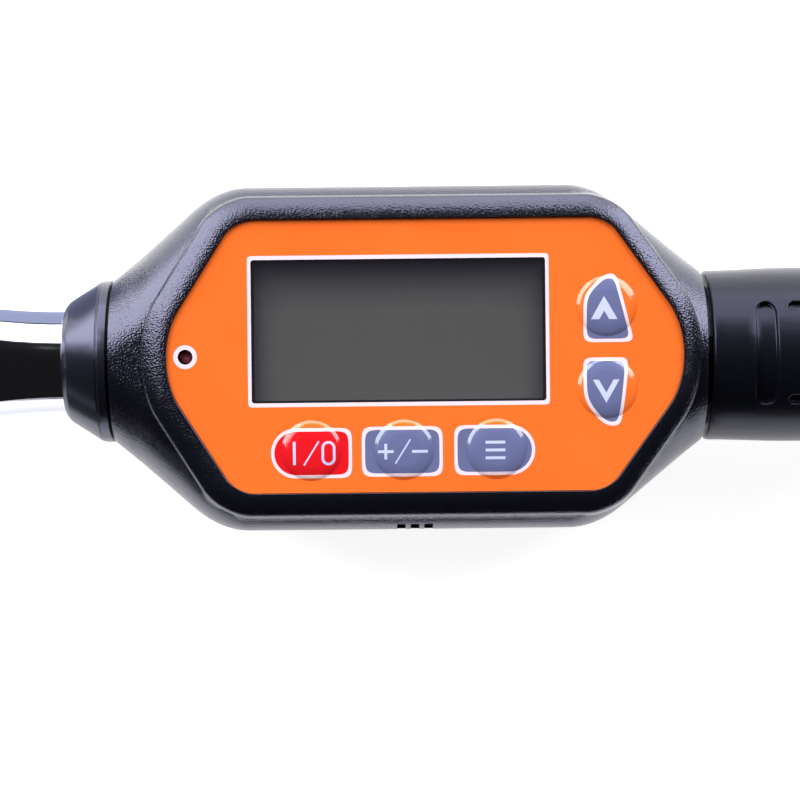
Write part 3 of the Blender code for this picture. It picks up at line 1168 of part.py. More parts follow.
def build():
    """Make every piece of the wrench."""
    empty_scene()
    frame = add_empty("wrench_axis", (WRENCH_X, 0, WRENCH_Z))
    head_frame = add_empty("gear_axis", (HEAD_X, 0, 0), frame)
    pawl_frame = add_empty("pawl_axis", (PAWL_PIN_OFFSET, 0, 0), head_frame, (0, 0, PAWL_ROCK))
    lever_frame = add_empty("lever_axis", (LEVER_OFFSET, 0, 0), head_frame, (0, 0, -LEVER_SWING))

    textured_black = make_material("textured_black", (0.012, 0.013, 0.022), 0.45)
    smooth_black = make_material("smooth_black", (0.008, 0.009, 0.014), 0.30)
    seal = make_material("seal_rubber", (0.004, 0.004, 0.005), 0.60)
    chrome = make_material("chrome", (0.80, 0.80, 0.84), 0.08, 1.0)
    steel = make_material("steel", (0.45, 0.45, 0.48), 0.30, 1.0)
    orange = make_material("orange_film", (1.0, 0.20, 0.03), 0.35)
    red = make_material("red_key", (0.76, 0.01, 0.02), 0.35)
    grey = make_material("grey_key", (0.13, 0.15, 0.26), 0.35)
    glass = make_material("smoked_window", (0.05, 0.05, 0.05), 0.10)
    board = make_material("board_green", (0.02, 0.12, 0.05), 0.45)
    nickel = make_material("nickel", (0.60, 0.58, 0.52), 0.25, 1.0)
    can = make_material("cell_can", (0.10, 0.22, 0.35), 0.35)
    foil = make_material("gauge_foil", (0.55, 0.33, 0.10), 0.35)
    lamp = make_material("lamp_red", (0.08, 0.01, 0.01), 0.15)

    cavity = housing_body("cavity", frame, inset=WALL, step=0.0060, segments=3)
    holes = end_holes(frame)
    front_cover(frame, textured_black, cavity, holes)
    rear_cover(frame, textured_black, cavity, holes)
    membrane_overlay(frame, orange)
    window_low = (WINDOW_X - WINDOW_LENGTH / 2, WINDOW_Y - WINDOW_WIDTH / 2, PANEL_BOTTOM_Z)
    window_high = (WINDOW_X + WINDOW_LENGTH / 2, WINDOW_Y + WINDOW_WIDTH / 2, PANEL_TOP_Z)
    block("display_window", frame, glass, window_low, window_high)
    lcd_low = (WINDOW_X - LCD_LENGTH / 2, WINDOW_Y - LCD_WIDTH / 2, BOARD_TOP_Z + GAP)
    lcd_high = (WINDOW_X + LCD_LENGTH / 2, WINDOW_Y + LCD_WIDTH / 2, BOARD_TOP_Z + GAP + LCD_THICKNESS)
    block("lcd_module", frame, glass, lcd_low, lcd_high)
    circuit_board(frame, board)
    for name, centre in KEYS.items():
        key("key_" + name, frame, red if name == "power" else grey, centre)
        switch_base = BOARD_TOP_Z + GAP
        profile = ((0, SWITCH_TOP_Z), (SWITCH_RADIUS * 0.6, SWITCH_TOP_Z),
                   (SWITCH_RADIUS, SWITCH_TOP_Z - GAP), (SWITCH_RADIUS, switch_base), (0, switch_base))
        turned("switch_" + name, profile, frame, nickel, (*centre, 0), steps=12)
    lamp_base = BOARD_TOP_Z + GAP
    lamp_top = lamp_base + LAMP_HEIGHT
    lamp_profile = ((0, lamp_top), (LAMP_RADIUS * 0.7, lamp_top - LAMP_RADIUS * 0.28),
                    (LAMP_RADIUS, lamp_top - LAMP_RADIUS * 0.87), (LAMP_RADIUS, lamp_base), (0, lamp_base))
    turned("status_lamp", lamp_profile, frame, lamp, (LAMP_X, LAMP_Y, 0), steps=12)
    buzzer_top = BOARD_BOTTOM_Z - GAP
    buzzer_low = buzzer_top - BUZZER_HEIGHT
    buzzer_profile = ((0, buzzer_top), (BUZZER_RADIUS, buzzer_top),
                      (BUZZER_RADIUS, buzzer_low), (0, buzzer_low))
    turned("buzzer", buzzer_profile, frame, smooth_black, (BUZZER_X, BUZZER_Y, 0), steps=16)

    cells(frame, can, nickel)
    battery_door(frame, textured_black)
    screw("battery_door_screw", frame, steel, (DOOR_SCREW_X, 0, 0), HOUSING_BACK_Z + PLATE_SCREW_SINK,
          DOOR_SCREW_HEAD_RADIUS, DOOR_SCREW_HEAD_HEIGHT, DOOR_SCREW_RADIUS, DOOR_SCREW_LENGTH)
    case_tip = HOUSING_BACK_Z + CASE_SCREW_SINK
    case_length = CASE_SCREW_REACH_Z - case_tip - CASE_SCREW_HEAD_HEIGHT
    for index, (x, y) in enumerate(boss_places()):
        screw(f"case_screw_{index + 1}", frame, steel, (x, y, 0), case_tip, CASE_SCREW_HEAD_RADIUS,
              CASE_SCREW_HEAD_HEIGHT, CASE_SCREW_RADIUS, case_length)

    ratchet_head(frame, chrome)
    for name, side in (("strain_gauge_left", 1), ("strain_gauge_right", -1)):
        near = side * (BEAM_HALF_WIDTH + GAP)
        far = side * (BEAM_HALF_WIDTH + 2 * GAP)
        block(name, frame, foil, (BEAM_FRONT_X + 0.010, min(near, far), -GAUGE_WIDTH / 2),
              (BEAM_FRONT_X + 0.010 + GAUGE_LENGTH, max(near, far), GAUGE_WIDTH / 2))
    neck_collar(frame, smooth_black)
    seal_start = COLLAR_FRONT_X + COLLAR_LENGTH + GAP
    seal_end = seal_start + SEAL_THICKNESS
    ring_piece("neck_seal", frame, seal, seal_start, seal_end, SPIGOT_RADIUS + GAP, FRONT_END_RADIUS - SEAL_SETBACK)
    drive_gear(head_frame, steel)
    detent(head_frame, steel, steel)
    pawl(pawl_frame, steel)
    pin_low = GEAR_FLOOR_Z - PAWL_PIN_SINK
    pin_high = PLATE_SEAT_Z - GAP
    pin_profile = ((0, pin_high), (PAWL_PIN_RADIUS, pin_high), (PAWL_PIN_RADIUS, pin_low), (0, pin_low))
    turned("pawl_pin", pin_profile, head_frame, steel, (PAWL_PIN_OFFSET, 0, 0), steps=12)
    head_cover_plate(head_frame, chrome)
    reversing_lever(lever_frame, steel)
    plunger(lever_frame, steel, steel)
    for index, (x, y) in enumerate(plate_screw_places()):
        screw(f"plate_screw_{index + 1}", head_frame, steel, (x, y, 0), HEAD_HALF_HEIGHT - PLATE_SCREW_SINK,
              PLATE_SCREW_HEAD_RADIUS, PLATE_SCREW_HEAD_HEIGHT, PLATE_SCREW_RADIUS, PLATE_SCREW_LENGTH,
              up=False)

    handle_tube(frame, steel)
    for name, x in PIN_PLACES.items():
        length = TUBE_RADIUS - GAP
        profile = ((0, length), (PIN_RADIUS, length), (PIN_RADIUS, -length), (0, -length))
        turned(name, profile, frame, steel, (x, 0, 0), steps=12)
    grip(frame, smooth_black)
    end_cap(frame, smooth_black)


build()
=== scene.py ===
# %% [markdown]
# # A digital torque wrench, dressed for its portrait
#
# The solids of this wrench come ready made and faceted: a ratchet head with a square drive, a
# collar, a two part display housing and a moulded grip. This script puts the finished surfaces
# over them. Each visible moulding is modelled again with fine curvature, every hidden piece keeps
# its solid and gets a real finish, and the wrench is then lit like a product on a white table.

# %% Load the solids
import json
from math import asin, cos, pi, radians, sin, tan

import bmesh
import bpy
from mathutils import Matrix, Vector


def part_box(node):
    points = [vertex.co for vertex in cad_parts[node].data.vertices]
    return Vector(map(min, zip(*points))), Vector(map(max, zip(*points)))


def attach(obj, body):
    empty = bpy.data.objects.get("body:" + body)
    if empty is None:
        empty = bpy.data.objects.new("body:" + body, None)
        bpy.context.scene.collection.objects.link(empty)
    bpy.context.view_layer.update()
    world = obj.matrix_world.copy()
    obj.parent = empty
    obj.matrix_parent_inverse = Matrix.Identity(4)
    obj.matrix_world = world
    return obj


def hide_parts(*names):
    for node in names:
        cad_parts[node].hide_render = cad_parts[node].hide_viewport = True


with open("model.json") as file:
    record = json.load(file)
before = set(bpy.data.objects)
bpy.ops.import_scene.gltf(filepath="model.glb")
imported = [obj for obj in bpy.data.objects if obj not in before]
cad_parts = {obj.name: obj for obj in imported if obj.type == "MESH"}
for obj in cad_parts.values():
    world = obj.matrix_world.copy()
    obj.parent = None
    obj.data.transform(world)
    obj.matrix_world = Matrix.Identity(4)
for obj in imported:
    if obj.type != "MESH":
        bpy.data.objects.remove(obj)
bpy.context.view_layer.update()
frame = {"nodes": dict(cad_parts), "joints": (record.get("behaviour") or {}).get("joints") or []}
scene = bpy.context.scene
gear_axis = Vector(next(joint for joint in frame["joints"] if joint["name"] == "drive_spin")["pos_m"])
HEAD_X = -0.1330
WRENCH = Matrix.Translation((gear_axis.x - HEAD_X, 0, gear_axis.z))
print("nodes", len(frame["nodes"]), "wrench axis at", [round(c, 4) for c in WRENCH.translation])

# %% [markdown]
# ## Small helpers
#
# Everything below is drawn in the wrench's own frame: x along its axis with zero under the middle
# of the display, z out of the display. One matrix then carries each finished mesh to its place.
# A bmesh is the right tool here, because its operators bevel, inset and bridge just as the
# editor's do, and a loop can call them.

# %% Helpers for meshes
MM = 0.001
WALL = 0.0024


def new_object(bm, name):
    """Make an object from a bmesh as it is drawn."""
    mesh = bpy.data.meshes.new(name)
    bm.to_mesh(mesh)
    bm.free()
    item = bpy.data.objects.new(name, mesh)
    scene.collection.objects.link(item)
    return item


def add_mesh(bm, name):
    """Make an object from a bmesh drawn in the wrench's frame, with its faces pointing out."""
    bmesh.ops.remove_doubles(bm, verts=bm.verts, dist=1e-7)
    bmesh.ops.recalc_face_normals(bm, faces=bm.faces)
    bm.transform(WRENCH)
    return new_object(bm, name)


def combine(item, tool, operation="DIFFERENCE"):
    """Cut an object with a form, or join the form to it, and keep the resulting mesh."""
    if isinstance(tool, bmesh.types.BMesh):
        tool = add_mesh(tool, "tool")
    modifier = item.modifiers.new("combine", "BOOLEAN")
    modifier.operation = operation
    modifier.object = tool
    modifier.solver = "EXACT"
    settle(item)
    bpy.data.objects.remove(tool)


def soften(bm, parts, width, segments, affect="EDGES"):
    """Round some edges or corners of a bmesh."""
    bmesh.ops.bevel(bm, geom=parts, offset=width, offset_type="OFFSET", segments=segments, profile=0.5,
                    affect=affect, material=-1)


def settle(item):
    """Turn an object's modifiers into its mesh."""
    graph = bpy.context.evaluated_depsgraph_get()
    graph.update()
    mesh = bpy.data.meshes.new_from_object(item.evaluated_get(graph))
    item.modifiers.clear()
    item.data = mesh


def dress(item, material, slot, *nodes, body="wrench", sharp=32, bevel=0.0):
    """Give a piece its finish, soften its edges, and let it ride on a body in place of its nodes."""
    if bevel:
        modifier = item.modifiers.new("edges", "BEVEL")
        modifier.width = bevel
        modifier.segments = 3
        modifier.limit_method = "ANGLE"
        modifier.angle_limit = radians(sharp)
        settle(item)
    item.data.materials.clear()
    item.data.materials.append(material)
    item.data.shade_smooth()
    item.data.set_sharp_from_angle(angle=radians(sharp))
    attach(item, body)
    if nodes:
        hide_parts(*nodes)


def spun(profile, steps=96, axis=(0, 0, 1), centre=(0, 0, 0)):
    """Spin a profile of (radius, distance along the axis) points into a closed form."""
    bm = bmesh.new()
    points = [bm.verts.new((radius, 0, height)) for radius, height in profile]
    edges = [bm.edges.new(pair) for pair in zip(points, points[1:])]
    bmesh.ops.spin(bm, geom=points + edges, cent=(0, 0, 0), axis=(0, 0, 1), angle=2 * pi,
                   steps=steps, use_merge=True, use_duplicate=False)
    bmesh.ops.remove_doubles(bm, verts=bm.verts, dist=1e-7)
    turn = Vector((0, 0, 1)).rotation_difference(Vector(axis)).to_matrix().to_4x4()
    bm.transform(Matrix.Translation(centre) @ turn)
    return bm


def in_mm(points):
    """A profile that is written in millimetres, in metres."""
    return [(across * MM, along * MM) for across, along in points]


def rod(radius, low, high):
    """The profile of a plain rod."""
    return [(0, low), (radius, low), (radius, high), (0, high)]


def rounded(points, radius, steps=5):
    """Round the corners of a profile: each inner point becomes a short arc of points."""
    result = [points[0]]
    for before, corner, after in zip(points, points[1:], points[2:]):
        corner = Vector(corner)
        back = Vector(before) - corner
        ahead = Vector(after) - corner
        reach = min(radius, back.length * 0.48, ahead.length * 0.48)
        start = corner + back.normalized() * reach
        end = corner + ahead.normalized() * reach
        for i in range(steps + 1):
            share = i / steps
            point = start.lerp(corner, share).lerp(corner.lerp(end, share), share)
            result.append(tuple(point))
    return result + [points[-1]]


# %% [markdown]
# ## Colours and nodes
#
# Colours are written as the sRGB hex values that a paint program shows, and one function turns
# them into the linear values that a shader wants. One more function adds a node: its settings are
# the node's own properties, and its inputs take either a plain value or another node's socket.

# %% Helpers for materials
def linear(code):
    """A linear colour from an sRGB hex code."""
    parts = [int(code[i:i + 2], 16) / 255 for i in (0, 2, 4)]
    return (*[c / 12.92 if c <= 0.04045 else ((c + 0.055) / 1.055) ** 2.4 for c in parts], 1.0)


def add_node(tree, kind, *values, **settings):
    """Add a node. Values fill its inputs in order, and settings name its properties or its inputs.

    A value is a plain number or colour, a socket, or a node, which gives its first output.
    """
    node = tree.nodes.new("ShaderNode" + kind)
    inputs = list(enumerate(values))
    for key, value in settings.items():
        if key in node.bl_rna.properties:
            setattr(node, key, value)
        else:
            inputs.append((key.replace("_", " "), value))
    for key, value in inputs:
        if isinstance(value, bpy.types.Node):
            value = value.outputs[0]
        if isinstance(value, bpy.types.NodeSocket):
            tree.links.new(value, node.inputs[key])
        else:
            node.inputs[key].default_value = value
    return node


def start_material(name, **values):
    """A material with a Principled shader, its plain values, and Object coordinates."""
    material = bpy.data.materials.new(name)
    material.use_nodes = True
    tree = material.node_tree
    shader = tree.nodes["Principled BSDF"]
    for key, value in values.items():
        shader.inputs[key.replace("_", " ")].default_value = value
    place = add_node(tree, "TexCoord").outputs["Object"]
    return material, tree, shader, place


def grain(tree, shader, place, size, height, detail=2.0, stretch=(1, 1, 1)):
    """Fine relief on a surface: the size of its grains and its height, in metres."""
    spread = add_node(tree, "Mapping", Vector=place, Scale=stretch)
    noise = add_node(tree, "TexNoise", Vector=spread, Scale=1 / size, Detail=detail)
    bump = add_node(tree, "Bump", Height=noise, Distance=height, Strength=1.0)
    tree.links.new(bump.outputs[0], shader.inputs["Normal"])
    return noise


def finish(name, colour, size, height, detail=2.0, stretch=(1, 1, 1), **values):
    """A material of one colour under a fine relief, whose grain is written in mm."""
    material, tree, shader, place = start_material(name, Base_Color=linear(colour), **values)
    grain(tree, shader, place, size * MM, height * MM, detail, stretch)
    return material


# %% [markdown]
# ## Finishes of the mouldings
#
# The housing is ABS moulded in a spark eroded tool. That leaves a fine, even grain, so the black
# turns grey and glittering where light grazes it. The real grain is about 0.15 mm. It is drawn at
# 0.30 mm, as coarse as it needs to be to show at this distance. The collar and the grip come from
# polished tools: the same black, but with a soft, even sheen and only a hint of flow marks.

# %% Textured ABS, smooth ABS, grip plastic and seal
textured_abs, tree, shader, place = start_material(
    "abs_spark_eroded_black", IOR=1.54, Specular_IOR_Level=1.0, Specular_Tint=linear("D9DAFF"))
speckle = grain(tree, shader, place, 0.30 * MM, 0.080 * MM, 0.5)
tone = add_node(tree, "Mix", data_type="RGBA", Factor=speckle, A=linear("050609"), B=linear("13141D"))
tree.links.new(tone.outputs["Result"], shader.inputs["Base Color"])
shine = add_node(tree, "MapRange", speckle, 0.35, 0.65, 0.27, 0.13)
tree.links.new(shine.outputs[0], shader.inputs["Roughness"])

smooth_abs = finish("abs_polished_black", "12131B", 3.0, 0.06, 1.0, (0.3, 1, 1), Roughness=0.24,
                    IOR=1.54, Specular_IOR_Level=1.0, Specular_Tint=linear("D2D5FF"))
grip_plastic = finish("polypropylene_grip_black", "0B0C12", 2.2, 0.05, 1.5, (0.25, 1, 1), Roughness=0.28,
                      IOR=1.49, Specular_IOR_Level=0.45, Specular_Tint=linear("CFD3FF"))
silicone = finish("silicone_seal_black", "020203", 0.5, 0.02, Roughness=0.70, IOR=1.41)
print("moulding finishes", [m.name for m in (textured_abs, smooth_abs, grip_plastic, silicone)])

# %% [markdown]
# ## Metal finishes
#
# The head is a drop forging, ground, polished and chrome plated, so it is nearly a mirror with a
# slow waviness that the polishing wheel left. The drive, the screws and the pins are turned or
# machined steel: darker, with fine marks round or along the cut.

# %% Chrome, steel and nickel
METALS = {
    "chrome_plate_polished": ("D6D8E3", 0.07, 9.0, 0.10, (1, 1, 1)),
    "steel_machined": ("9C9CA3", 0.28, 0.35, 0.010, (0.12, 1, 1)),
    "steel_blackened": ("3A3B40", 0.36, 0.40, 0.008, (1, 1, 0.2)),
    "nickel_plated": ("C9C4B6", 0.22, 0.60, 0.006, (1, 1, 1)),
}
metals = {}
for name, (colour, roughness, size, height, stretch) in METALS.items():
    metals[name] = finish(name, colour, size, height, 1.0, stretch, Roughness=roughness, Metallic=1.0)
chrome = metals["chrome_plate_polished"]
print("metal finishes", list(metals))

# %% [markdown]
# ## Finishes of the hidden parts
#
# Behind the covers are a glass fibre board under green solder mask, sleeved cells, the foil of the
# strain gauges and a lamp. They are seen only when the housing is opened, but each still gets the
# finish it has: woven glass under the mask, a printed sleeve, an orange film.

# %% Board, cells, foil, lamp and buzzer
INNER = {
    "solder_mask_green": ("1F6B3C", 0.38, 0.9, 0.012),
    "cell_sleeve_blue": ("2E5C82", 0.30, 6.0, 0.020),
    "polyimide_foil": ("B8752A", 0.25, 1.5, 0.005),
    "lamp_lens_red": ("8A3A46", 0.45, 4.0, 0.010),
    "buzzer_nylon_black": ("101114", 0.45, 0.5, 0.015),
}
inner = {}
for name, (colour, roughness, size, height) in INNER.items():
    inner[name] = finish(name, colour, size, height, Roughness=roughness)
print("inner finishes", list(inner))

# %% [markdown]
# ## The printed panel
#
# The panel is a polycarbonate film, printed from behind: orange all over, with a white rim round
# the window, the lamp and each key, and the keys' own colours inside. The print runs on over the
# raised keys, so it can't be one colour for each piece. It is drawn once, as distances from each
# shape's edge in Object coordinates, and film and keys share it. Where a distance is negative, the
# point is inside. A smooth maximum of straight sides gives a polygon with round corners.

# %% Places and shapes of the printed keys, in mm
KEYS = {
    "power": (-15.4, -16.1), "unit": (0.6, -16.1), "mode": (16.6, -16.1),
    "up": (35.9, 8.4), "down": (35.9, -5.8),
}
WINDOW = (-0.15, 4.56, 52.2, 26.18)
LAMP = (-37.1, 0.3)
LAMP_RIM = 2.05
PRINT_RIM = 0.56
KEY_CORNER, CHEVRON_KEY_CORNER, WINDOW_CORNER = 2.7, 2.3, 1.1
TALL = 4.33
SIDES = {
    "power": ((1, 0, 7.0), (0, 1, TALL), (0, -1, TALL)),
    "unit": ((1, 0, 6.9), (-1, 0, 7.1), (0, 1, TALL), (0, -1, TALL)),
    "mode": ((-1, 0, 7.1), (0, 1, TALL), (0, -1, TALL)),
    "up": ((-1, 0, 4.05), (0, -1, 6.25), (0, 1, 5.85), (0.968, 0.252, 3.05), (-0.707, 0.707, 4.25)),
    "down": ((-1, 0, 4.15), (0, 1, 5.30), (1, 0, 4.05), (0, -1, 6.60), (0.988, -0.155, 3.30),
             (-0.770, -0.638, 4.60)),
}
SHIFTS = {"power": (0.0, -0.45), "unit": (-0.2, -0.3), "mode": (-0.2, -0.2)}
ROUND_ENDS = {"power": (-1, -2.67), "mode": (1, 2.57)}
print("printed keys", list(KEYS))

# %% Marks on the keys: straight strokes, a ring and two chevrons
STROKES = {
    "power": ((-2.95, 0, 0.24, 2.0, 0), (0.0, 0.0, 0.13, 2.45, -32)),
    "unit": ((-2.95, 0, 0.24, 1.35, 0), (-2.95, 0, 1.35, 0.24, 0), (0, 0, 0.13, 2.45, -32),
             (2.95, 0, 1.35, 0.24, 0)),
    "mode": ((0, 1.35, 1.7, 0.24, 0), (0, 0, 1.7, 0.24, 0), (0, -1.35, 1.7, 0.24, 0)),
}
RING = (2.95, 0.9, 0.98, 0.22)
CHEVRONS = {"up": (-0.48, 1.70, -0.80, -2.30, 1), "down": (-0.25, -2.55, -0.80, 1.45, -1)}
CHEVRON_SLOPE = 1.75


def polygon(tree, x, y, sides, blend):
    """Distance to a polygon with round corners, from sides as (normal x, normal y, offset)."""
    result = None
    for nx, ny, offset in sides:
        across = add_node(tree, "Math", x, nx, operation="MULTIPLY")
        along = add_node(tree, "Math", y, ny, across, operation="MULTIPLY_ADD")
        side = add_node(tree, "Math", along, offset, operation="SUBTRACT")
        if result is not None:
            side = add_node(tree, "Math", result, side, blend, operation="SMOOTH_MAX")
        result = side
    return result


def from_centre(tree, place, centre):
    """Coordinates in mm about a point of the panel, as two sockets."""
    middle = WRENCH @ Vector((centre[0] * MM, centre[1] * MM, 0))
    spread = add_node(tree, "Mapping", vector_type="TEXTURE", Vector=place, Location=middle,
                      Scale=(MM, MM, MM))
    return add_node(tree, "SeparateXYZ", spread).outputs[:2]


def distance(tree, x, y):
    """The length of a flat vector."""
    flat = add_node(tree, "CombineXYZ", x, y)
    return add_node(tree, "VectorMath", flat, operation="LENGTH").outputs["Value"]


def least(tree, fields):
    """The smallest of several distances: inside any shape."""
    result = fields[0]
    for field in fields[1:]:
        result = add_node(tree, "Math", result, field, operation="MINIMUM")
    return result


# %% Distances to each printed shape
panel_film, tree, shader, place = start_material(
    "polycarbonate_film_printed", Roughness=0.11, IOR=1.58, Specular_IOR_Level=0.8)
fields = {}
marks = []
for key, centre in KEYS.items():
    middle = [c + shift for c, shift in zip(centre, SHIFTS.get(key, (0, 0)))]
    x, y = from_centre(tree, place, middle)
    corner = CHEVRON_KEY_CORNER if key in CHEVRONS else KEY_CORNER
    fields[key] = polygon(tree, x, y, SIDES[key], corner)
    if key in ROUND_ENDS:
        way, start = ROUND_ENDS[key]
        past = add_node(tree, "Math", x, way, -way * start, operation="MULTIPLY_ADD")
        past = add_node(tree, "Math", past, 0.0, operation="MAXIMUM")
        end = add_node(tree, "Math", distance(tree, past, y), TALL, operation="SUBTRACT")
        fields[key] = add_node(tree, "Math", fields[key], end, operation="MAXIMUM")
    for cx, cy, half_x, half_y, angle in STROKES.get(key, ()):
        c, s = cos(radians(angle)), sin(radians(angle))
        sides = [(way * c, way * s, half_x + way * (cx * c + cy * s)) for way in (1, -1)]
        sides += [(-way * s, way * c, half_y + way * (cy * c - cx * s)) for way in (1, -1)]
        marks.append(polygon(tree, x, y, sides, 0.05))
    if key == "power":
        ring_x, straight, radius, thick = RING
        across = add_node(tree, "Math", x, ring_x, operation="SUBTRACT")
        tall = add_node(tree, "Math", y, operation="ABSOLUTE")
        tall = add_node(tree, "Math", tall, straight, operation="SUBTRACT")
        tall = add_node(tree, "Math", tall, 0.0, operation="MAXIMUM")
        wall = add_node(tree, "Math", distance(tree, across, tall), radius, operation="SUBTRACT")
        wall = add_node(tree, "Math", wall, operation="ABSOLUTE")
        marks.append(add_node(tree, "Math", wall, thick, operation="SUBTRACT"))
    if key in CHEVRONS:
        cx, tip, hollow, foot, way = CHEVRONS[key]
        spread = add_node(tree, "Math", x, cx, operation="SUBTRACT")
        spread = add_node(tree, "Math", spread, operation="ABSOLUTE")
        line = add_node(tree, "Math", spread, CHEVRON_SLOPE * way, y, operation="MULTIPLY_ADD")
        outer = add_node(tree, "Math", line, 0.5 * way, -0.5 * way * tip, operation="MULTIPLY_ADD")
        under = add_node(tree, "Math", line, -0.5 * way, 0.5 * way * hollow, operation="MULTIPLY_ADD")
        base = add_node(tree, "Math", y, -way, way * foot, operation="MULTIPLY_ADD")
        chevron = add_node(tree, "Math", outer, under, operation="MAXIMUM")
        marks.append(add_node(tree, "Math", chevron, base, operation="MAXIMUM"))
x, y = from_centre(tree, place, WINDOW[:2])
half_long, half_wide = WINDOW[2] / 2, WINDOW[3] / 2
frame_sides = ((1, 0, half_long), (-1, 0, half_long), (0, 1, half_wide), (0, -1, half_wide))
window_field = polygon(tree, x, y, frame_sides, WINDOW_CORNER)
x, y = from_centre(tree, place, LAMP)
lamp_field = add_node(tree, "Math", distance(tree, x, y), LAMP_RIM, operation="SUBTRACT")
print("print distances", len(tree.nodes), "nodes")

# %% Colour the print
SOFT_EDGE = 0.05
patches = add_node(tree, "TexNoise", Vector=place, Scale=90.0, Detail=2.0)
ground = add_node(tree, "Mix", data_type="RGBA", Factor=patches, A=linear("FA7631"), B=linear("F46D28"))
colour = ground.outputs["Result"]
white_field = least(tree, [window_field, lamp_field, *fields.values()])
grey_field = least(tree, [fields[key] for key in ("unit", "mode", "up", "down")])
for field, rim, code in ((white_field, 0.0, "F3DCE9"), (fields["power"], PRINT_RIM, "E01923"),
                         (grey_field, PRINT_RIM, "676D97"), (least(tree, marks), 0.0, "C9CDF6")):
    depth = add_node(tree, "Math", field, rim, operation="ADD")
    share = add_node(tree, "MapRange", depth, SOFT_EDGE, -SOFT_EDGE, interpolation_type="SMOOTHSTEP")
    mix = add_node(tree, "Mix", data_type="RGBA", Factor=share, A=colour, B=linear(code))
    colour = mix.outputs["Result"]
tree.links.new(colour, shader.inputs["Base Color"])
grain(tree, shader, place, 1.2 * MM, 0.006 * MM)
print("panel film", len(tree.nodes), "nodes")

# %% [markdown]
# ## Display
#
# Over the display the film is left clear. A smoked plate fills the print's opening, and the liquid
# crystal cell lies a little below it, so the recess throws a real shadow on its edges. The cell
# is greenish grey glass, and painted shade in its colour darkens it towards its top edge, and a
# little towards its ends, beyond the real shadow of the recess.

# %% Window and liquid crystal glass
smoked_window = finish("polycarbonate_window_smoked", "2B2A31", 5.0, 0.004, 1.0, Roughness=0.04,
                       IOR=1.58, Alpha=0.35)

lcd_glass, tree, shader, place = start_material("liquid_crystal_glass", Roughness=0.10, IOR=1.52)
x, y = from_centre(tree, place, WINDOW[:2])
# Painted shade: the glass colour darkens towards the cell's top edge, and a little towards its ends.
painted_shade_field = polygon(tree, x, y, ((1, 0, 30.0), (-1, 0, 30.0), (0, 1, 12.0), (0, -1, 22.0)), 9.0)
share = add_node(tree, "MapRange", painted_shade_field, -9.0, 1.0, interpolation_type="SMOOTHSTEP")
glass_and_painted_shade = add_node(tree, "Mix", data_type="RGBA", Factor=share, A=linear("9C9D9B"), B=linear("4A4450"))
tree.links.new(glass_and_painted_shade.outputs["Result"], shader.inputs["Base Color"])
grain(tree, shader, place, 2.5 * MM, 0.003 * MM, 1.0)
print("display finishes", smoked_window.name, lcd_glass.name)

# %% [markdown]
# ## The housing
#
# The housing is a rounded box that closes to a round neck at each end. Its section across the
# wrench is a rectangle with round corners. Along the way only its sizes change, and its corners
# grow rounder towards the ends. So it is made as a skin over sections: each one starts as four
# corners, a vertex bevel rounds them, and bridging joins each section to the next. Two covers come
# from it, cut apart at the seam. The flanks and the back are written as the places of their front
# and rear knees, and the length that rounds each knee.

# %% Sizes of the housing along the wrench
FRONT_X, REAR_X = -0.0508, 0.0537
FRONT_END, REAR_END = 0.0147, 0.0153
HALF_WIDTH, TOP_Z, BACK_Z = 0.0304, 0.0153, -0.0205
FLANKS = (-0.0322, 0.0349, 0.0050)
BACK = (-0.0390, 0.0405, 0.0030)
SLOPE_END, SLOPE_START = -0.0272, 0.0299
CORNER, CORNER_GROWTH = 0.0090, 0.0078
SEAM = 0.00015


def knee(x, at, blend):
    """A ramp that starts at a point, rounded over a blend length."""
    if x <= at - blend:
        return 0.0
    if x >= at + blend:
        return x - at
    return (x - at + blend) ** 2 / (4 * blend)


def swell(x, front, rear, middle, front_knee, rear_knee, blend):
    """A size that climbs from the front end to its middle value, and falls to the rear end."""
    climb = (middle - front) / (front_knee - FRONT_X)
    fall = (middle - rear) / (REAR_X - rear_knee)
    return (front + climb * (x - FRONT_X) - climb * knee(x, front_knee, blend)
            - fall * knee(x, rear_knee, blend))


def section(bm, x, half_width, top, bottom, radius, segments):
    """One section across the wrench, as a face."""
    radius = min(radius, 0.998 * min(half_width, (top - bottom) / 2))
    corners = [bm.verts.new((x, y, z)) for y, z in
               ((half_width, top), (-half_width, top), (-half_width, bottom), (half_width, bottom))]
    bm.faces.new(corners)
    soften(bm, corners, radius, segments, "VERTICES")
    return next(face for face in bm.faces if all(abs(vert.co.x - x) < 1e-6 for vert in face.verts))


def skin(bm, faces):
    """Bridge a row of section faces, and leave only the first and the last."""
    loops = [list(face.edges) for face in faces]
    bmesh.ops.delete(bm, geom=faces[1:-1], context="FACES_ONLY")
    for before, after in zip(loops, loops[1:]):
        bmesh.ops.bridge_loops(bm, edges=before + after)


def housing_form(inset=0.0, step=0.0011, segments=12):
    """The housing's body as a closed form, drawn inwards by an inset."""
    bm = bmesh.new()
    places = []
    for start, end in ((FRONT_X + inset, SLOPE_END), (SLOPE_START, REAR_X - inset)):
        count = round((end - start) / step)
        places += [start + (end - start) * i / count for i in range(count + 1)]
    places = sorted(places + [-0.014, 0.0, 0.015])
    faces = []
    for x in places:
        end = FRONT_END if x < 0 else REAR_END
        half_width = swell(x, FRONT_END, REAR_END, HALF_WIDTH, *FLANKS)
        share = (half_width - end) / (HALF_WIDTH - end)
        top = end + (TOP_Z - end) * share
        bottom = -swell(x, FRONT_END, REAR_END, -BACK_Z, *BACK)
        radius = CORNER + CORNER_GROWTH * max(0.0, 1 - share) ** 0.5
        faces.append(section(bm, x, half_width - inset, top - inset, bottom + inset, radius - inset,
                             segments))
    skin(bm, faces)
    return bm


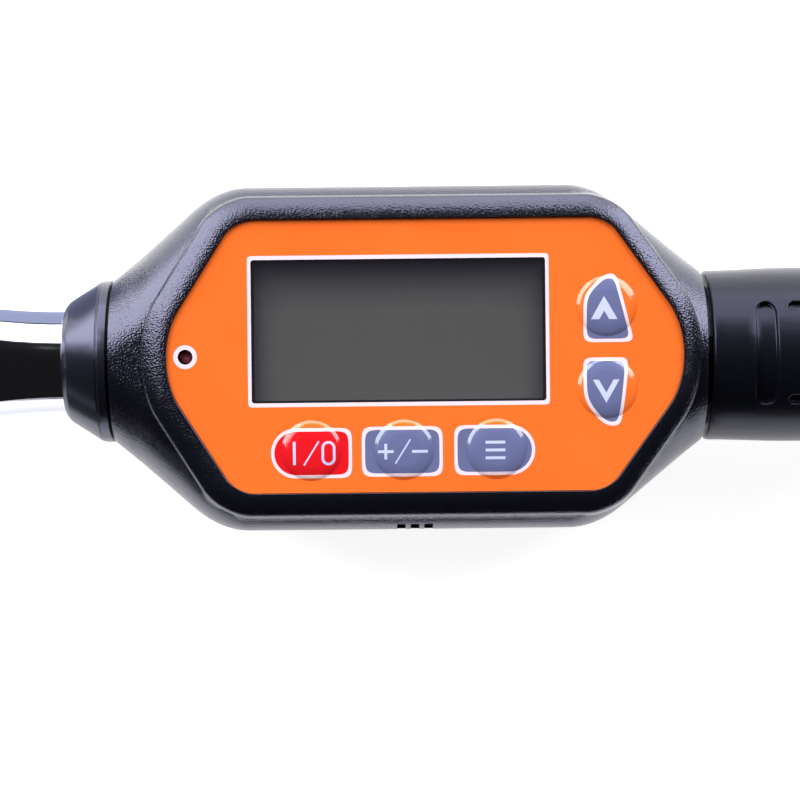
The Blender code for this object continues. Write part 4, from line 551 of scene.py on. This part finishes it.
def halved(bm, height, keep):
    """Cut a closed form at a height, keep one side (1 above, -1 below), and close it again."""
    cut = bmesh.ops.bisect_plane(bm, geom=bm.verts[:] + bm.edges[:] + bm.faces[:], dist=1e-8,
                                 plane_co=(0, 0, height), plane_no=(0, 0, keep), clear_inner=True)
    edges = [item for item in cut["geom_cut"] if isinstance(item, bmesh.types.BMEdge)]
    bmesh.ops.holes_fill(bm, edges=edges, sides=0)
    return bm


# %% [markdown]
# ## The raised bezel
#
# On top of the front cover stands a hexagonal bezel with a soft, rounded lip, and the panel lies
# in its recess. It starts as six corners. Vertex bevels round the two tips widely and the four
# corners tightly. From then on a row of insets makes the whole profile: each one steps inwards
# and up, over the lip, and down again into the recess. The lip isn't a plain half round: it has a
# tight outer edge and rises in one smooth curve to its crown, which lies right at the panel. The
# wall also leans: its foot lies a little further towards the neck than the panel does.

# %% The panel's hexagon, and the profile of the bezel's wall in mm
HEXAGON = ((0.0531, 0, 0.0155), (0.0360, 0.0239, 0.0058), (-0.0285, 0.0239, 0.0058),
           (-0.0435, 0, 0.0155), (-0.0285, -0.0235, 0.0058), (0.0360, -0.0235, 0.0058))
TIP_SEGMENTS, CORNER_SEGMENTS = 28, 16
FOOT = 5.1
LIP_WIDTH, LIP_STEP, LIP_TOP, LIP_FALL = 3.7, 0.36, 17.5, 0.097
LEAN = 0.16


def hexagon(bm, grow, height):
    """The panel's outline as one face, grown by an offset, with each corner rounded."""
    corners = [Vector(point[:2]) for point in HEXAGON]
    lines = []
    for i, corner in enumerate(corners):
        along = (corners[(i + 1) % 6] - corner).normalized()
        lines.append((corner + Vector((along.y, -along.x)) * grow, along))
    verts = []
    for i in range(6):
        (p, d), (q, e) = lines[i - 1], lines[i]
        reach = (q - p).cross(e) / d.cross(e)
        verts.append(bm.verts.new((*(p + d * reach), height)))
    bm.faces.new(verts)
    angles = [(verts[i - 1].co - vert.co).angle(verts[(i + 1) % 6].co - vert.co)
              for i, vert in enumerate(verts)]
    for i, (vert, angle) in enumerate(zip(verts, angles)):
        radius = HEXAGON[i][2] + grow
        segments = CORNER_SEGMENTS if i % 3 else TIP_SEGMENTS
        soften(bm, [vert], radius / tan(angle / 2), segments, "VERTICES")
    face = bm.faces[:][0]
    face.normal_update()
    if face.normal.z < 0:
        face.normal_flip()
    return face


def raise_face(bm, face, height):
    """Extrude a lone flat face upwards into a closed solid, and return its top."""
    made = bmesh.ops.extrude_face_region(bm, geom=[face])["geom"]
    top = next(item for item in made if isinstance(item, bmesh.types.BMFace))
    bmesh.ops.translate(bm, verts=top.verts, vec=(0, 0, height))
    return top


def bezel_form():
    """The bezel: drafted outer wall, rounded lip and the recess for the panel."""
    widths = [LIP_WIDTH - LIP_STEP * i for i in range(10)]
    crown = [(wide, LIP_TOP - LIP_FALL * wide ** 2) for wide in widths]
    corners = [(FOOT, 8.0), (4.05, 15.6), *crown, (0.06, LIP_TOP), (0.0, 17.4), (0.0, 15.7)]
    profile = rounded(corners, 0.3, 4)
    bm = bmesh.new()
    top = raise_face(bm, hexagon(bm, FOOT * MM, 6.0 * MM), 2.0 * MM)
    bmesh.ops.translate(bm, verts=bm.verts, vec=(-LEAN * FOOT * MM, 0, 0))
    for (wide, low), (narrow, high) in zip(profile, profile[1:]):
        bmesh.ops.inset_individual(bm, faces=[top], thickness=(wide - narrow) * MM,
                                   depth=(high - low) * MM, use_even_offset=True)
        bmesh.ops.translate(bm, verts=top.verts, vec=(LEAN * (wide - narrow) * MM, 0, 0))
    return bm


print("panel corners", len(HEXAGON))

# %% [markdown]
# ## The front cover
#
# The front cover is one moulding: the upper half of the body with the bezel on it, hollow, with
# openings for the display, the keys' stems, the lamp and the buzzer's sound. The forms are joined
# and cut with Booleans, in the order in which a mould would be thought out: outside first, then
# the cavity, then the holes.

# %% Blocks, drills and the front cover
COLLAR_X = -0.0596
SLOT_X, SLOT_PITCH, SLOT_HALF = 0.0024, 0.0024, 0.00075


def block(bm, low, high, corner=0.0):
    """A block between two corners, with its upright edges rounded."""
    low, high = Vector(low), Vector(high)
    size = Matrix.Diagonal((*(high - low), 1))
    made = bmesh.ops.create_cube(bm, size=1.0, matrix=Matrix.Translation((low + high) / 2) @ size)
    if corner:
        edges = {edge for vert in made["verts"] for edge in vert.link_edges}
        upright = [edge for edge in edges if (edge.verts[0].co - edge.verts[1].co).xy.length < 1e-6]
        soften(bm, upright, corner, 6)


def window_block(bm, half_long, half_wide, low, high, corner):
    """A block about the middle of the display, between two heights."""
    x, y = WINDOW[0] * MM, WINDOW[1] * MM
    block(bm, (x - half_long, y - half_wide, low), (x + half_long, y + half_wide, high), corner)


def drill(bm, centre, radius, low, high, segments=48):
    """An upright cylinder between two heights."""
    place = Matrix.Translation((centre[0], centre[1], (low + high) / 2))
    bmesh.ops.create_cone(bm, cap_ends=True, segments=segments, radius1=radius, radius2=radius,
                          depth=high - low, matrix=place)


def bore(item, centre, *sizes):
    """Cut one hole in an object: its radius, its two heights, and how many sides if not 48."""
    bm = bmesh.new()
    drill(bm, centre, *sizes)
    combine(item, bm)


def key_holes(bm, lamp_radius, key_radius, low, high, segments=48):
    """Round holes for the lamp and the five keys."""
    drill(bm, (LAMP[0] * MM, LAMP[1] * MM), lamp_radius, low, high)
    for x, y in KEYS.values():
        drill(bm, (x * MM, y * MM), key_radius, low, high, segments)


def end_holes():
    """Holes in the housing's ends: for the collar's spigot and for the handle tube."""
    bm = bmesh.new()
    for x, radius in ((FRONT_X - 0.003, 0.0123), (REAR_X - 0.007, 0.0125)):
        hole = spun(rod(radius, 0, 0.010), 64, (1, 0, 0), (x, 0, 0))
        mesh = bpy.data.meshes.new("hole")
        hole.to_mesh(mesh)
        hole.free()
        bm.from_mesh(mesh)
        bpy.data.meshes.remove(mesh)
    return bm


front = add_mesh(halved(housing_form(), SEAM, 1), "front_cover_moulding")
combine(front, bezel_form(), "UNION")
combine(front, housing_form(WALL, 0.0022, 6))
combine(front, end_holes())
openings = bmesh.new()
window_block(openings, 0.02505, 0.01200, 0.0120, 0.0200, 0.4 * MM)
key_holes(openings, 1.35 * MM, 3.6 * MM, 0.0110, 0.0200)
for i in range(3):
    x = SLOT_X + (i - 1) * SLOT_PITCH
    block(openings, (x - SLOT_HALF, -0.0340, 0.0040), (x + SLOT_HALF, -0.0232, 0.0106))
combine(front, openings)
dress(front, textured_abs, "textured_black", "front_cover", sharp=35)
print("front cover", len(front.data.polygons), "faces")

# %% [markdown]
# ## The rear cover
#
# The rear cover is the lower half. Its back holds a flush battery door and four sunk screws. It
# comes from the same skin, so both halves meet exactly at the seam, and only the cuts differ.

# %% The rear cover and its door
BOSSES = [(x, y) for x in (-0.0315, 0.0330) for y in (-0.0200, 0.0200)]
DOOR = (-0.0270, 0.0290, 0.0130)
DOOR_SCREW = (0.0257, 0)


def door_block(bm, grow, low, high, corner=0.0):
    """A block with the outline of the battery door, grown by a margin."""
    block(bm, (DOOR[0] - grow, -DOOR[2] - grow, low), (DOOR[1] + grow, DOOR[2] + grow, high), corner)


rear = add_mesh(halved(housing_form(), -SEAM, -1), "rear_cover_moulding")
combine(rear, housing_form(WALL, 0.0022, 6))
pad = bmesh.new()
door_block(pad, 0.0018, -0.0187, -0.0172)
combine(rear, pad, "UNION")
combine(rear, end_holes())
sinks = bmesh.new()
for place in BOSSES:
    drill(sinks, place, 0.0027, -0.0230, -0.0175)
door_block(sinks, 0.0003, -0.0230, -0.0183, 0.0020)
combine(rear, sinks)
bay = bmesh.new()
block(bay, (DOOR[0] + 0.0015, -0.0115, -0.0200), (0.0238, 0.0115, -0.0160))
combine(rear, bay)
dress(rear, textured_abs, "textured_black", "rear_cover", sharp=35)
print("rear cover", len(rear.data.polygons), "faces")

# %% [markdown]
# ## The panel and the display
#
# The film is a flat sheet in the bezel's recess, with holes where the window, the lamp and the
# keys are. The real keys are embossed in the same film. Here each key is a turned dome of its own,
# because it has to move, and the printed material makes film and domes look like one sheet.

# %% Film, window and liquid crystal cell
bm = bmesh.new()
raise_face(bm, hexagon(bm, -0.08 * MM, 16.0 * MM), 0.8 * MM)
film = add_mesh(bm, "panel_film_sheet")
openings = bmesh.new()
window_block(openings, 0.02550, 0.01240, 0.0150, 0.0180, 0.5 * MM)
key_holes(openings, 1.3 * MM, 5.24 * MM, 0.0150, 0.0180, 96)
combine(film, openings)
dress(film, panel_film, "orange_film", "membrane_overlay")

bm = bmesh.new()
window_block(bm, 0.02542, 0.01232, 0.0160, 0.0167, 0.45 * MM)
dress(add_mesh(bm, "window_plate"), smoked_window, "smoked_window", "display_window")

bm = bmesh.new()
window_block(bm, 0.0273, 0.0143, 0.0129, 0.0147, 0.3 * MM)
dress(add_mesh(bm, "liquid_crystal_cell"), lcd_glass, "lcd_glass", "lcd_module")
print("film", len(film.data.polygons), "faces")

# %% The keys' domes
STEM = [(0, 14.3), (2.2, 14.3), (2.2, 16.4), (5.22, 16.4)]
DOME = [(5.22, 16.79), (4.66, 17.06), (3.9, 17.25), (3.0, 17.39), (0, 17.5)]
for key, (x, y) in KEYS.items():
    dome = spun(in_mm(STEM + rounded(DOME, 0.14, 4)), 96, (0, 0, 1), (x * MM, y * MM, 0))
    slot = "red_key" if key == "power" else "grey_key"
    dress(add_mesh(dome, "dome_" + key), panel_film, slot, "key_" + key, body=key + "_key", sharp=40)
print("domes", len(KEYS))

# %% [markdown]
# ## Collar and seal
#
# The collar is a turned looking cone that leads the neck into the housing. A spin of its profile
# makes it, and small arcs in the profile stand for the radii that a moulding always has.

# %% The collar and the seal behind it
CONE = [(14.5, 8.2), (14.5, 6.75), (14.25, 6.65), (14.25, 6.45), (14.4, 6.35), (10.9, 0.9), (9.9, 0.0),
        (9.3, 0.0)]
outline = [(12.0, 7.6), (13.9, 7.6), (13.9, 8.2), *rounded(CONE, 0.22, 4), (9.3, 12.6), (12.0, 12.6),
           (12.0, 7.6)]
collar = spun(in_mm(outline), 128, (1, 0, 0), (COLLAR_X, 0, 0))
dress(add_mesh(collar, "collar_cone"), smooth_abs, "smooth_black", "neck_collar", sharp=40)
outline = [(12.3, 0), (13.4, 0), (13.4, 0.6), (12.3, 0.6), (12.3, 0)]
seal = spun(in_mm(outline), 96, (1, 0, 0), (COLLAR_X + 7.9 * MM, 0, 0))
dress(add_mesh(seal, "seal_ring"), silicone, "seal_rubber", "neck_seal")
print("collar and seal done")

# %% [markdown]
# ## The grip
#
# The grip is moulded over the steel tube. It swells in the palm, and its top and its underside
# each have a cross slot and two long grooves, a millimetre deep. The outside is a spin. The
# recesses are cut with blocks whose floor follows the grip's own curve, which a second, smaller
# spin gives. Each recess is written as its place along the grip, its half length, its half width
# and its lowest height.

# %% The grip
GRIP_X, GRIP_LENGTH = 0.0546, 0.1720
GRIP_PLACES = ((0.0, 0.0152), (0.0150, 0.0156), (0.0640, 0.0172), (0.1380, 0.0158), (0.1720, 0.0166))
TUBE_RADIUS = 0.0125
RECESS = 0.0010
CROSS_SLOT = (0.0640, 0.0089, 0.0018, 0.0110)
GROOVE = (0.1230, 0.0550, 0.0009, 0.0120)


def grip_radius(x):
    """Outer radius of the grip at a distance from its front end."""
    for (start, first), (end, last) in zip(GRIP_PLACES, GRIP_PLACES[1:]):
        if x <= end:
            return first + (last - first) * (1 - cos(pi * (x - start) / (end - start))) / 2
    return GRIP_PLACES[-1][1]


def slot_block(bm, recess, angle, turn=0.0):
    """A recess with round ends, turned about the grip's axis, and about its own middle before that."""
    x, half_long, half_wide, low = recess
    old = set(bm.verts)
    block(bm, (-half_long, -half_wide, low), (half_long, half_wide, 0.0200), half_wide * 0.96)
    place = Matrix.Rotation(angle, 4, "X") @ Matrix.Translation((x, 0, 0)) @ Matrix.Rotation(turn, 4, "Z")
    bmesh.ops.transform(bm, matrix=place, verts=[vert for vert in bm.verts if vert not in old])


outer = [(grip_radius(x), x) for x in [GRIP_LENGTH * i / 60 for i in range(61)]]
front_edge = [(TUBE_RADIUS, 0.0), (0.0149, 0.0), (0.0152, 0.0003)]
rear_edge = (TUBE_RADIUS, GRIP_LENGTH)
profile = [rear_edge, *front_edge, *outer[1:], rear_edge]
grip = add_mesh(spun(profile, 160, (1, 0, 0), (GRIP_X, 0, 0)), "grip_moulding")
recesses = bmesh.new()
groove_angle = asin(0.0082 / grip_radius(0.0134))
for side in (0, pi):
    slot_block(recesses, CROSS_SLOT, side, pi / 2)
    for way in (-1, 1):
        slot_block(recesses, GROOVE, side + way * groove_angle)
tool = add_mesh(recesses, "recess_tool")
core = [(0, 0)] + [(r - RECESS, x) for r, x in outer] + [(0, GRIP_LENGTH)]
combine(tool, spun(core, 160, (1, 0, 0), (GRIP_X, 0, 0)))
combine(grip, tool)
bm = bmesh.new()
bm.from_mesh(grip.data)
bmesh.ops.remove_doubles(bm, verts=bm.verts, dist=0.12 * MM)
rims = [edge for edge in bm.edges if edge.calc_face_angle(0) > radians(35)]
soften(bm, rims, 0.33 * MM, 3)
bm.to_mesh(grip.data)
bm.free()
dress(grip, grip_plastic, "grip_black", "grip", sharp=50)
print("grip", len(grip.data.polygons), "faces")

# %% [markdown]
# ## The end cap
#
# A plug closes the tube, with a soft edge that is kind to the palm. It is a spin again.

# %% The end cap
profile = [(0, -12.0), (9.6, -12.0), (9.6, 0.3), (16.6, 0.3), (16.6, 3.2), (14.6, 6.1), (0, 6.3)]
cap = spun(in_mm(rounded(profile, 1.1, 5)), 128, (1, 0, 0), (GRIP_X + GRIP_LENGTH, 0, 0))
dress(add_mesh(cap, "end_plug"), grip_plastic, "grip_black", "end_cap", sharp=30)
print("end cap done")

# %% [markdown]
# ## The ratchet head
#
# The head, its neck and the sensing beam inside the housing are one forging. Seen from above, the
# head is a pear: two discs and the straight lines that touch both. A convex hull round two rings
# gives just that. The neck is a skin over sections again, from a wide oval to a round bar. The
# beam's sections are written in mm: a place, a half width, a half height and a corner radius.

# %% The forging
LEVER_X = 0.0240
HEAD_TOP = 0.0110
PLATE_SEAT = 0.0089
NECK_START, NECK_END = HEAD_X + LEVER_X + 0.004, COLLAR_X - 0.001
BEAM = ((-49.0, 9, 9, 9), (-46.0, 6.5, 5.5, 1.5), (36.0, 6.5, 5.5, 1.5), (39.0, 9.6, 9.6, 9.6),
        (66.0, 9.6, 9.6, 9.6))


def pear(head_radius, tail_radius, low, high, edge=0.0):
    """A pear shaped plate about the gear's axis, with its rims rounded."""
    bm = bmesh.new()
    for x, radius in ((0, head_radius), (LEVER_X, tail_radius)):
        for z in (low, high):
            bmesh.ops.create_circle(bm, segments=128, radius=radius, matrix=Matrix.Translation((x, 0, z)))
    made = bmesh.ops.convex_hull(bm, input=bm.verts)
    spare = {item for key in ("geom_interior", "geom_unused") for item in made[key]
             if isinstance(item, bmesh.types.BMVert)}
    bmesh.ops.delete(bm, geom=list(spare), context="VERTS")
    bmesh.ops.dissolve_limit(bm, angle_limit=radians(0.2), verts=bm.verts, edges=bm.edges)
    if edge:
        rims = [item for item in bm.edges if item.calc_face_angle(0) > 1.0]
        soften(bm, rims, edge, 5)
    bmesh.ops.translate(bm, verts=bm.verts, vec=(HEAD_X, 0, 0))
    return bm


def neck_form():
    """The neck, the beam inside the housing and the tail in the tube."""
    places = []
    for i in range(25):
        share = i / 24
        ease = share * share * (3 - 2 * share)
        sizes = [wide + (9.0 - wide) * ease for wide in (12.8, 9.6, 7.0)]
        places.append((NECK_START + (NECK_END - NECK_START) * share, *sizes))
    places += [(x * MM, *sizes) for x, *sizes in BEAM]
    bm = bmesh.new()
    skin(bm, [section(bm, x, width * MM, height * MM, -height * MM, radius * MM, 20)
              for x, width, height, radius in places])
    return bm


head = add_mesh(pear(0.0185, 0.0140, -HEAD_TOP, HEAD_TOP, 1.0 * MM), "head_forging")
combine(head, neck_form(), "UNION")
combine(head, pear(0.0172, 0.0127, PLATE_SEAT - 0.0003, 0.0130))
bore(head, (HEAD_X, 0), 0.0124, -0.0067, 0.0130, 96)
bore(head, (HEAD_X + LEVER_X, 0), 0.0045, -0.0068, 0.0130, 64)
bore(head, (HEAD_X, 0), 0.0089, -0.0130, 0.0, 96)
dress(head, chrome, "chrome", "ratchet_head", sharp=30)
print("head", len(head.data.polygons), "faces")

# %% The cover plate
plate = add_mesh(pear(0.0169, 0.0124, PLATE_SEAT, HEAD_TOP, 0.25 * MM), "head_plate")
bores = bmesh.new()
drill(bores, (HEAD_X, 0), 0.0079, 0.0080, 0.0120, 96)
drill(bores, (HEAD_X + LEVER_X, 0), 0.0035, 0.0080, 0.0120, 64)
PLATE_SCREWS = [(0.0144 * cos(radians(angle)), 0.0144 * sin(radians(angle))) for angle in (125, -125)]
PLATE_SCREWS.append((LEVER_X + 0.0089, 0.0))
for x, y in PLATE_SCREWS:
    drill(bores, (HEAD_X + x, y), 0.0021, 0.0097, 0.0120)
combine(plate, bores)
dress(plate, chrome, "chrome", "head_cover_plate", sharp=30)
print("plate", len(plate.data.polygons), "faces")

# %% [markdown]
# ## The lever and the screws
#
# A thumb lever turns the ratchet over. Its boss is a spin, and its tab is a block that is wider at
# its root and lifted at its tip, with five fine grooves for the thumb. The screws are turned too,
# and each head gets a hexagonal socket, cut by a six sided form. The lever and the screws replace
# the frame's coarser ones at the same place.

# %% The reversing lever
LEVER_TOP = 0.0113
LEVER_REST = radians(-30)
TAB_KNEE = 0.0085
profile = [(0, 13.7), (5.4, 13.7), (5.4, 11.3), (3.2, 11.3), (3.2, 8.6), (4.2, 8.6), (4.2, -6.4), (0, -6.4)]
lever = add_mesh(spun(in_mm(rounded(profile, 0.4, 4))), "lever_boss")
tab = bmesh.new()
block(tab, (0, -0.0023, LEVER_TOP + 0.0004), (0.0150, 0.0023, LEVER_TOP + 0.0021), 1.6 * MM)
bmesh.ops.bisect_plane(tab, geom=tab.verts[:] + tab.edges[:] + tab.faces[:], plane_co=(TAB_KNEE, 0, 0),
                       plane_no=(1, 0, 0))
past_knee = [vert for vert in tab.verts if vert.co.x > 0.009]
tip_top = [vert for vert in past_knee if vert.co.z > LEVER_TOP + 0.001]
bmesh.ops.translate(tab, verts=tip_top, vec=(0, 0, 0.0012))
bmesh.ops.scale(tab, verts=[vert for vert in tab.verts if vert not in past_knee], vec=(1, 1.4, 1))
combine(lever, tab, "UNION")
for i in range(5):
    place = ((9.6 + i) * MM, 0, LEVER_TOP + 0.00285 + 0.00008 * i)
    combine(lever, spun(rod(0.30 * MM, -2.4 * MM, 2.4 * MM), 12, (0, 1, 0), place))
combine(lever, spun(rod(0.0018, 0, 0.0067), 32, (1, 0, 0), (-0.0052, 0, 0)))
place = WRENCH @ Matrix.Translation((HEAD_X + LEVER_X, 0, 0)) @ Matrix.Rotation(LEVER_REST, 4, "Z")
lever.data.transform(place @ WRENCH.inverted())
dress(lever, chrome, "steel", "reversing_lever", body="lever", sharp=30, bevel=0.12 * MM)
print("lever", len(lever.data.polygons), "faces")

# %% The screws
def add_screw(name, place, tip, radius, height, shank, length, way, socket):
    """A screw with a hexagonal socket: its outer face at tip, its shank running up (1) or down (-1)."""
    seat, end = tip + way * height, tip + way * (height + length)
    profile = [(0, tip), (radius, tip), (radius, seat), (shank, seat), (shank, end), (0, end)]
    low, high = sorted((tip - way * 0.0002, tip + way * height * 0.7))
    screw = add_mesh(spun(rounded(profile, radius * 0.14, 3), 48, (0, 0, 1), (*place, 0)), name + "_turned")
    bore(screw, place, socket, low, high, 6)
    dress(screw, metals["steel_blackened"], "steel", name, sharp=30)


for i, place in enumerate(BOSSES):
    add_screw(f"case_screw_{i + 1}", place, -0.0196, 0.0024, 0.0018, 0.0012, 0.0238, 1, 0.0013)
add_screw("battery_door_screw", DOOR_SCREW, -0.0204, 0.0020, 0.0006, 0.0010, 0.0045, 1, 0.0010)
for i, (x, y) in enumerate(PLATE_SCREWS):
    add_screw(f"plate_screw_{i + 1}", (HEAD_X + x, y), 0.0109, 0.0018, 0.0009, 0.0010, 0.0060, -1, 0.0010)
print("screws", len(BOSSES) + 1 + len(PLATE_SCREWS))

# %% [markdown]
# ## The battery door
#
# A flush plate closes the battery bay, held by one screw. Its edge is softly rounded, and four
# fine grooves across one end show a finger where to lift it.

# %% The door in the back
bm = bmesh.new()
door_block(bm, 0, -0.0205, -0.0186, 1.7 * MM)
door = add_mesh(bm, "door_moulding")
bore(door, DOOR_SCREW, 0.0023, -0.0215, -0.01955)
bore(door, DOOR_SCREW, 0.0013, -0.0215, -0.0180)
grooves = bmesh.new()
for i in range(4):
    x = -0.0235 + i * 0.0016
    block(grooves, (x - 0.0004, -0.0070, -0.0212), (x + 0.0004, 0.0070, -0.0201))
combine(door, grooves)
dress(door, textured_abs, "textured_black", "battery_door", sharp=35, bevel=0.2 * MM)
print("door", len(door.data.polygons), "faces")

# %% [markdown]
# ## The drive and its ball
#
# The gear, its boss and the square are shown by a copy of the frame's own solid. Its triangles are
# merged and dissolved into flat faces first, so that a bevel can break the hard edges. The ball is
# a fine sphere in place of a coarse one.

# %% The gear and the detent ball
bm = bmesh.new()
bm.from_mesh(frame["nodes"]["drive_gear"].data)
bm.transform(WRENCH.inverted())
bmesh.ops.remove_doubles(bm, verts=bm.verts, dist=1e-6)
bmesh.ops.dissolve_limit(bm, angle_limit=radians(1), verts=bm.verts, edges=bm.edges)
gear = add_mesh(bm, "drive_gear_machined")
dress(gear, metals["steel_machined"], "steel", "drive_gear", body="drive", sharp=35, bevel=0.10 * MM)
low, high = [Vector(corner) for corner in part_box("detent_ball")]
bm = bmesh.new()
bmesh.ops.create_uvsphere(bm, u_segments=48, v_segments=24, radius=0.0016,
                          matrix=WRENCH.inverted() @ Matrix.Translation((low + high) / 2))
dress(add_mesh(bm, "detent_ball_ground"), chrome, "steel", "detent_ball", body="ball", sharp=60)
print("gear", len(gear.data.polygons), "faces")

# %% [markdown]
# ## Pieces that keep their solids
#
# Everything inside the housing and the mechanism keeps the frame's own mesh. What changes is the
# finish: each node gets the material that the real piece has.

# %% Finishes for the frame's own nodes
FINISHES = {
    "steel_machined": ("pawl", "pawl_pin", "plunger", "pin_front", "pin_rear"),
    "steel_blackened": ("handle_tube",),
    "nickel_plated": ("detent_spring", "plunger_spring", "battery_spring_1", "battery_spring_2",
                      *[f"contact_plate_{end}_{i}" for end in ("front", "rear") for i in (1, 2)],
                      *["switch_" + key for key in KEYS]),
    "solder_mask_green": ("circuit_board",),
    "cell_sleeve_blue": ("battery_1", "battery_2"),
    "polyimide_foil": ("strain_gauge_left", "strain_gauge_right"),
    "lamp_lens_red": ("status_lamp",),
    "buzzer_nylon_black": ("buzzer",),
}
library = metals | inner
for finish, names in FINISHES.items():
    for name in names:
        for place in frame["nodes"][name].material_slots:
            place.material = library[finish]
print("finished", sum(len(names) for names in FINISHES.values()), "nodes")

# %% [markdown]
# ## The table, the light and the camera
#
# The photograph is a product shot from straight above. The table is a big pale plane.
# Towards the camera it shines white, so that the picture's ground is white, but part of its
# colour stays diffuse, and there the wrench's shadow falls. A row of three large diffusers stands
# behind the wrench, from the table up, and the rest of the room is dark. This gives the black
# plastic its broad sheen on the far slopes and leaves the near ones black. The world is white to
# the camera only. Chrome shows everything round it, so a grey card with a black edge stands beside
# the neck, as in a real studio, and is no longer than the neck, so that the head doesn't show it.
# Dark cards lie in front, where the black plastic would show too much of the table. Only glossy
# rays see the cards.

# %% The table
TABLE_GLOW = 0.89
scene.view_settings.view_transform = "Standard"
bm = bmesh.new()
bmesh.ops.create_grid(bm, x_segments=1, y_segments=1, size=1.5)
table = new_object(bm, "table")
tabletop, tree, shader, place = start_material(
    "table_white", Roughness=0.9, Base_Color=linear("D4D4D4"), Emission_Color=(1, 1, 1, 1))
rays = add_node(tree, "LightPath")
seen = add_node(tree, "Math", rays.outputs["Is Camera Ray"], rays.outputs["Is Glossy Ray"], operation="ADD")
seen = add_node(tree, "Math", seen, rays.outputs["Is Transmission Ray"], operation="ADD", use_clamp=True)
glow = add_node(tree, "Math", seen, TABLE_GLOW, operation="MULTIPLY")
tree.links.new(glow.outputs[0], shader.inputs["Emission Strength"])
table.data.materials.append(tabletop)
print("table", tuple(table.dimensions))

# %% The world
DIFFUSE_FILL, ROOM_LEVEL = 0.05, 0.012
world = bpy.data.worlds.new("studio")
scene.world = world
world.use_nodes = True
tree = world.node_tree
tree.nodes.clear()
rays = add_node(tree, "LightPath")
fill = add_node(tree, "Math", rays.outputs["Is Diffuse Ray"], DIFFUSE_FILL, ROOM_LEVEL,
                operation="MULTIPLY_ADD")
level = add_node(tree, "Math", fill, rays.outputs["Is Camera Ray"], operation="MAXIMUM")
sky = add_node(tree, "Background", Color=linear("FFFFFF"), Strength=level)
output = add_node(tree, "OutputWorld")
tree.links.new(sky.outputs[0], output.inputs["Surface"])
print("world", len(tree.nodes), "nodes")

# %% The diffusers
middle = WRENCH @ Vector((0, 0, 0))
DISTANCE = 1.20
DIFFUSERS = (
    ("diffuser_left", 143, 30, 0.86, 1.40, 5.8),
    ("diffuser_behind", 92, 23, 1.10, 1.00, 3.8),
    ("diffuser_right", 42, 28, 0.70, 1.28, 5.8),
)
for name, azimuth, elevation, wide, tall, radiance in DIFFUSERS:
    lamp = bpy.data.lights.new(name, "AREA")
    lamp.shape = "RECTANGLE"
    lamp.size, lamp.size_y = wide, tall
    lamp.energy = radiance * pi * wide * tall
    item = bpy.data.objects.new(name, lamp)
    scene.collection.objects.link(item)
    a, e = radians(azimuth), radians(elevation)
    item.location = middle + Vector((cos(a) * cos(e), sin(a) * cos(e), sin(e))) * DISTANCE
    item.rotation_euler = (middle - item.location).to_track_quat("-Z", "Y").to_euler()
    print(name, round(lamp.energy, 1), "W")

# %% Cards for the reflections
CARDS = (
    ("grey_card_flat", (-0.126, 0.009, 0.0010), (-0.1035, 0.0300, 0.0012), "BAC0E2"),
    ("grey_card_upright", (-0.126, 0.030, 0.0010), (-0.1035, 0.0302, 0.0251), "BAC0E2"),
    ("black_card_edge", (-0.126, 0.030, 0.0251), (-0.1020, 0.0302, 0.0268), "000000"),
    ("dark_card_front", (-0.104, -0.60, 0.0010), (0.020, -0.090, 0.0012), "70707C"),
    ("dark_card_left", (-0.50, -0.60, 0.0010), (-0.135, -0.045, 0.0012), "46464E"),
)
for name, low, high, code in CARDS:
    bm = bmesh.new()
    block(bm, low, high)
    card = new_object(bm, name)
    card.visible_camera = card.visible_diffuse = card.visible_shadow = card.visible_transmission = False
    paint, *rest = start_material(name + "_paint", Base_Color=(0, 0, 0, 1), Specular_IOR_Level=0,
                                  Emission_Color=linear(code), Emission_Strength=1.0)
    card.data.materials.append(paint)
print("cards", len(CARDS))

# %% The camera
camera_data = bpy.data.cameras.new("camera")
camera_data.lens = 107.5
camera_data.sensor_width = 36
camera = bpy.data.objects.new("camera", camera_data)
scene.collection.objects.link(camera)
camera.location = (-0.0407, -0.0075, WRENCH.translation.z + 0.430)
camera.rotation_euler = (0, 0, radians(-0.61))
scene.camera = camera
print("camera at", tuple(camera.location))

# %% The end
bpy.context.view_layer.update()
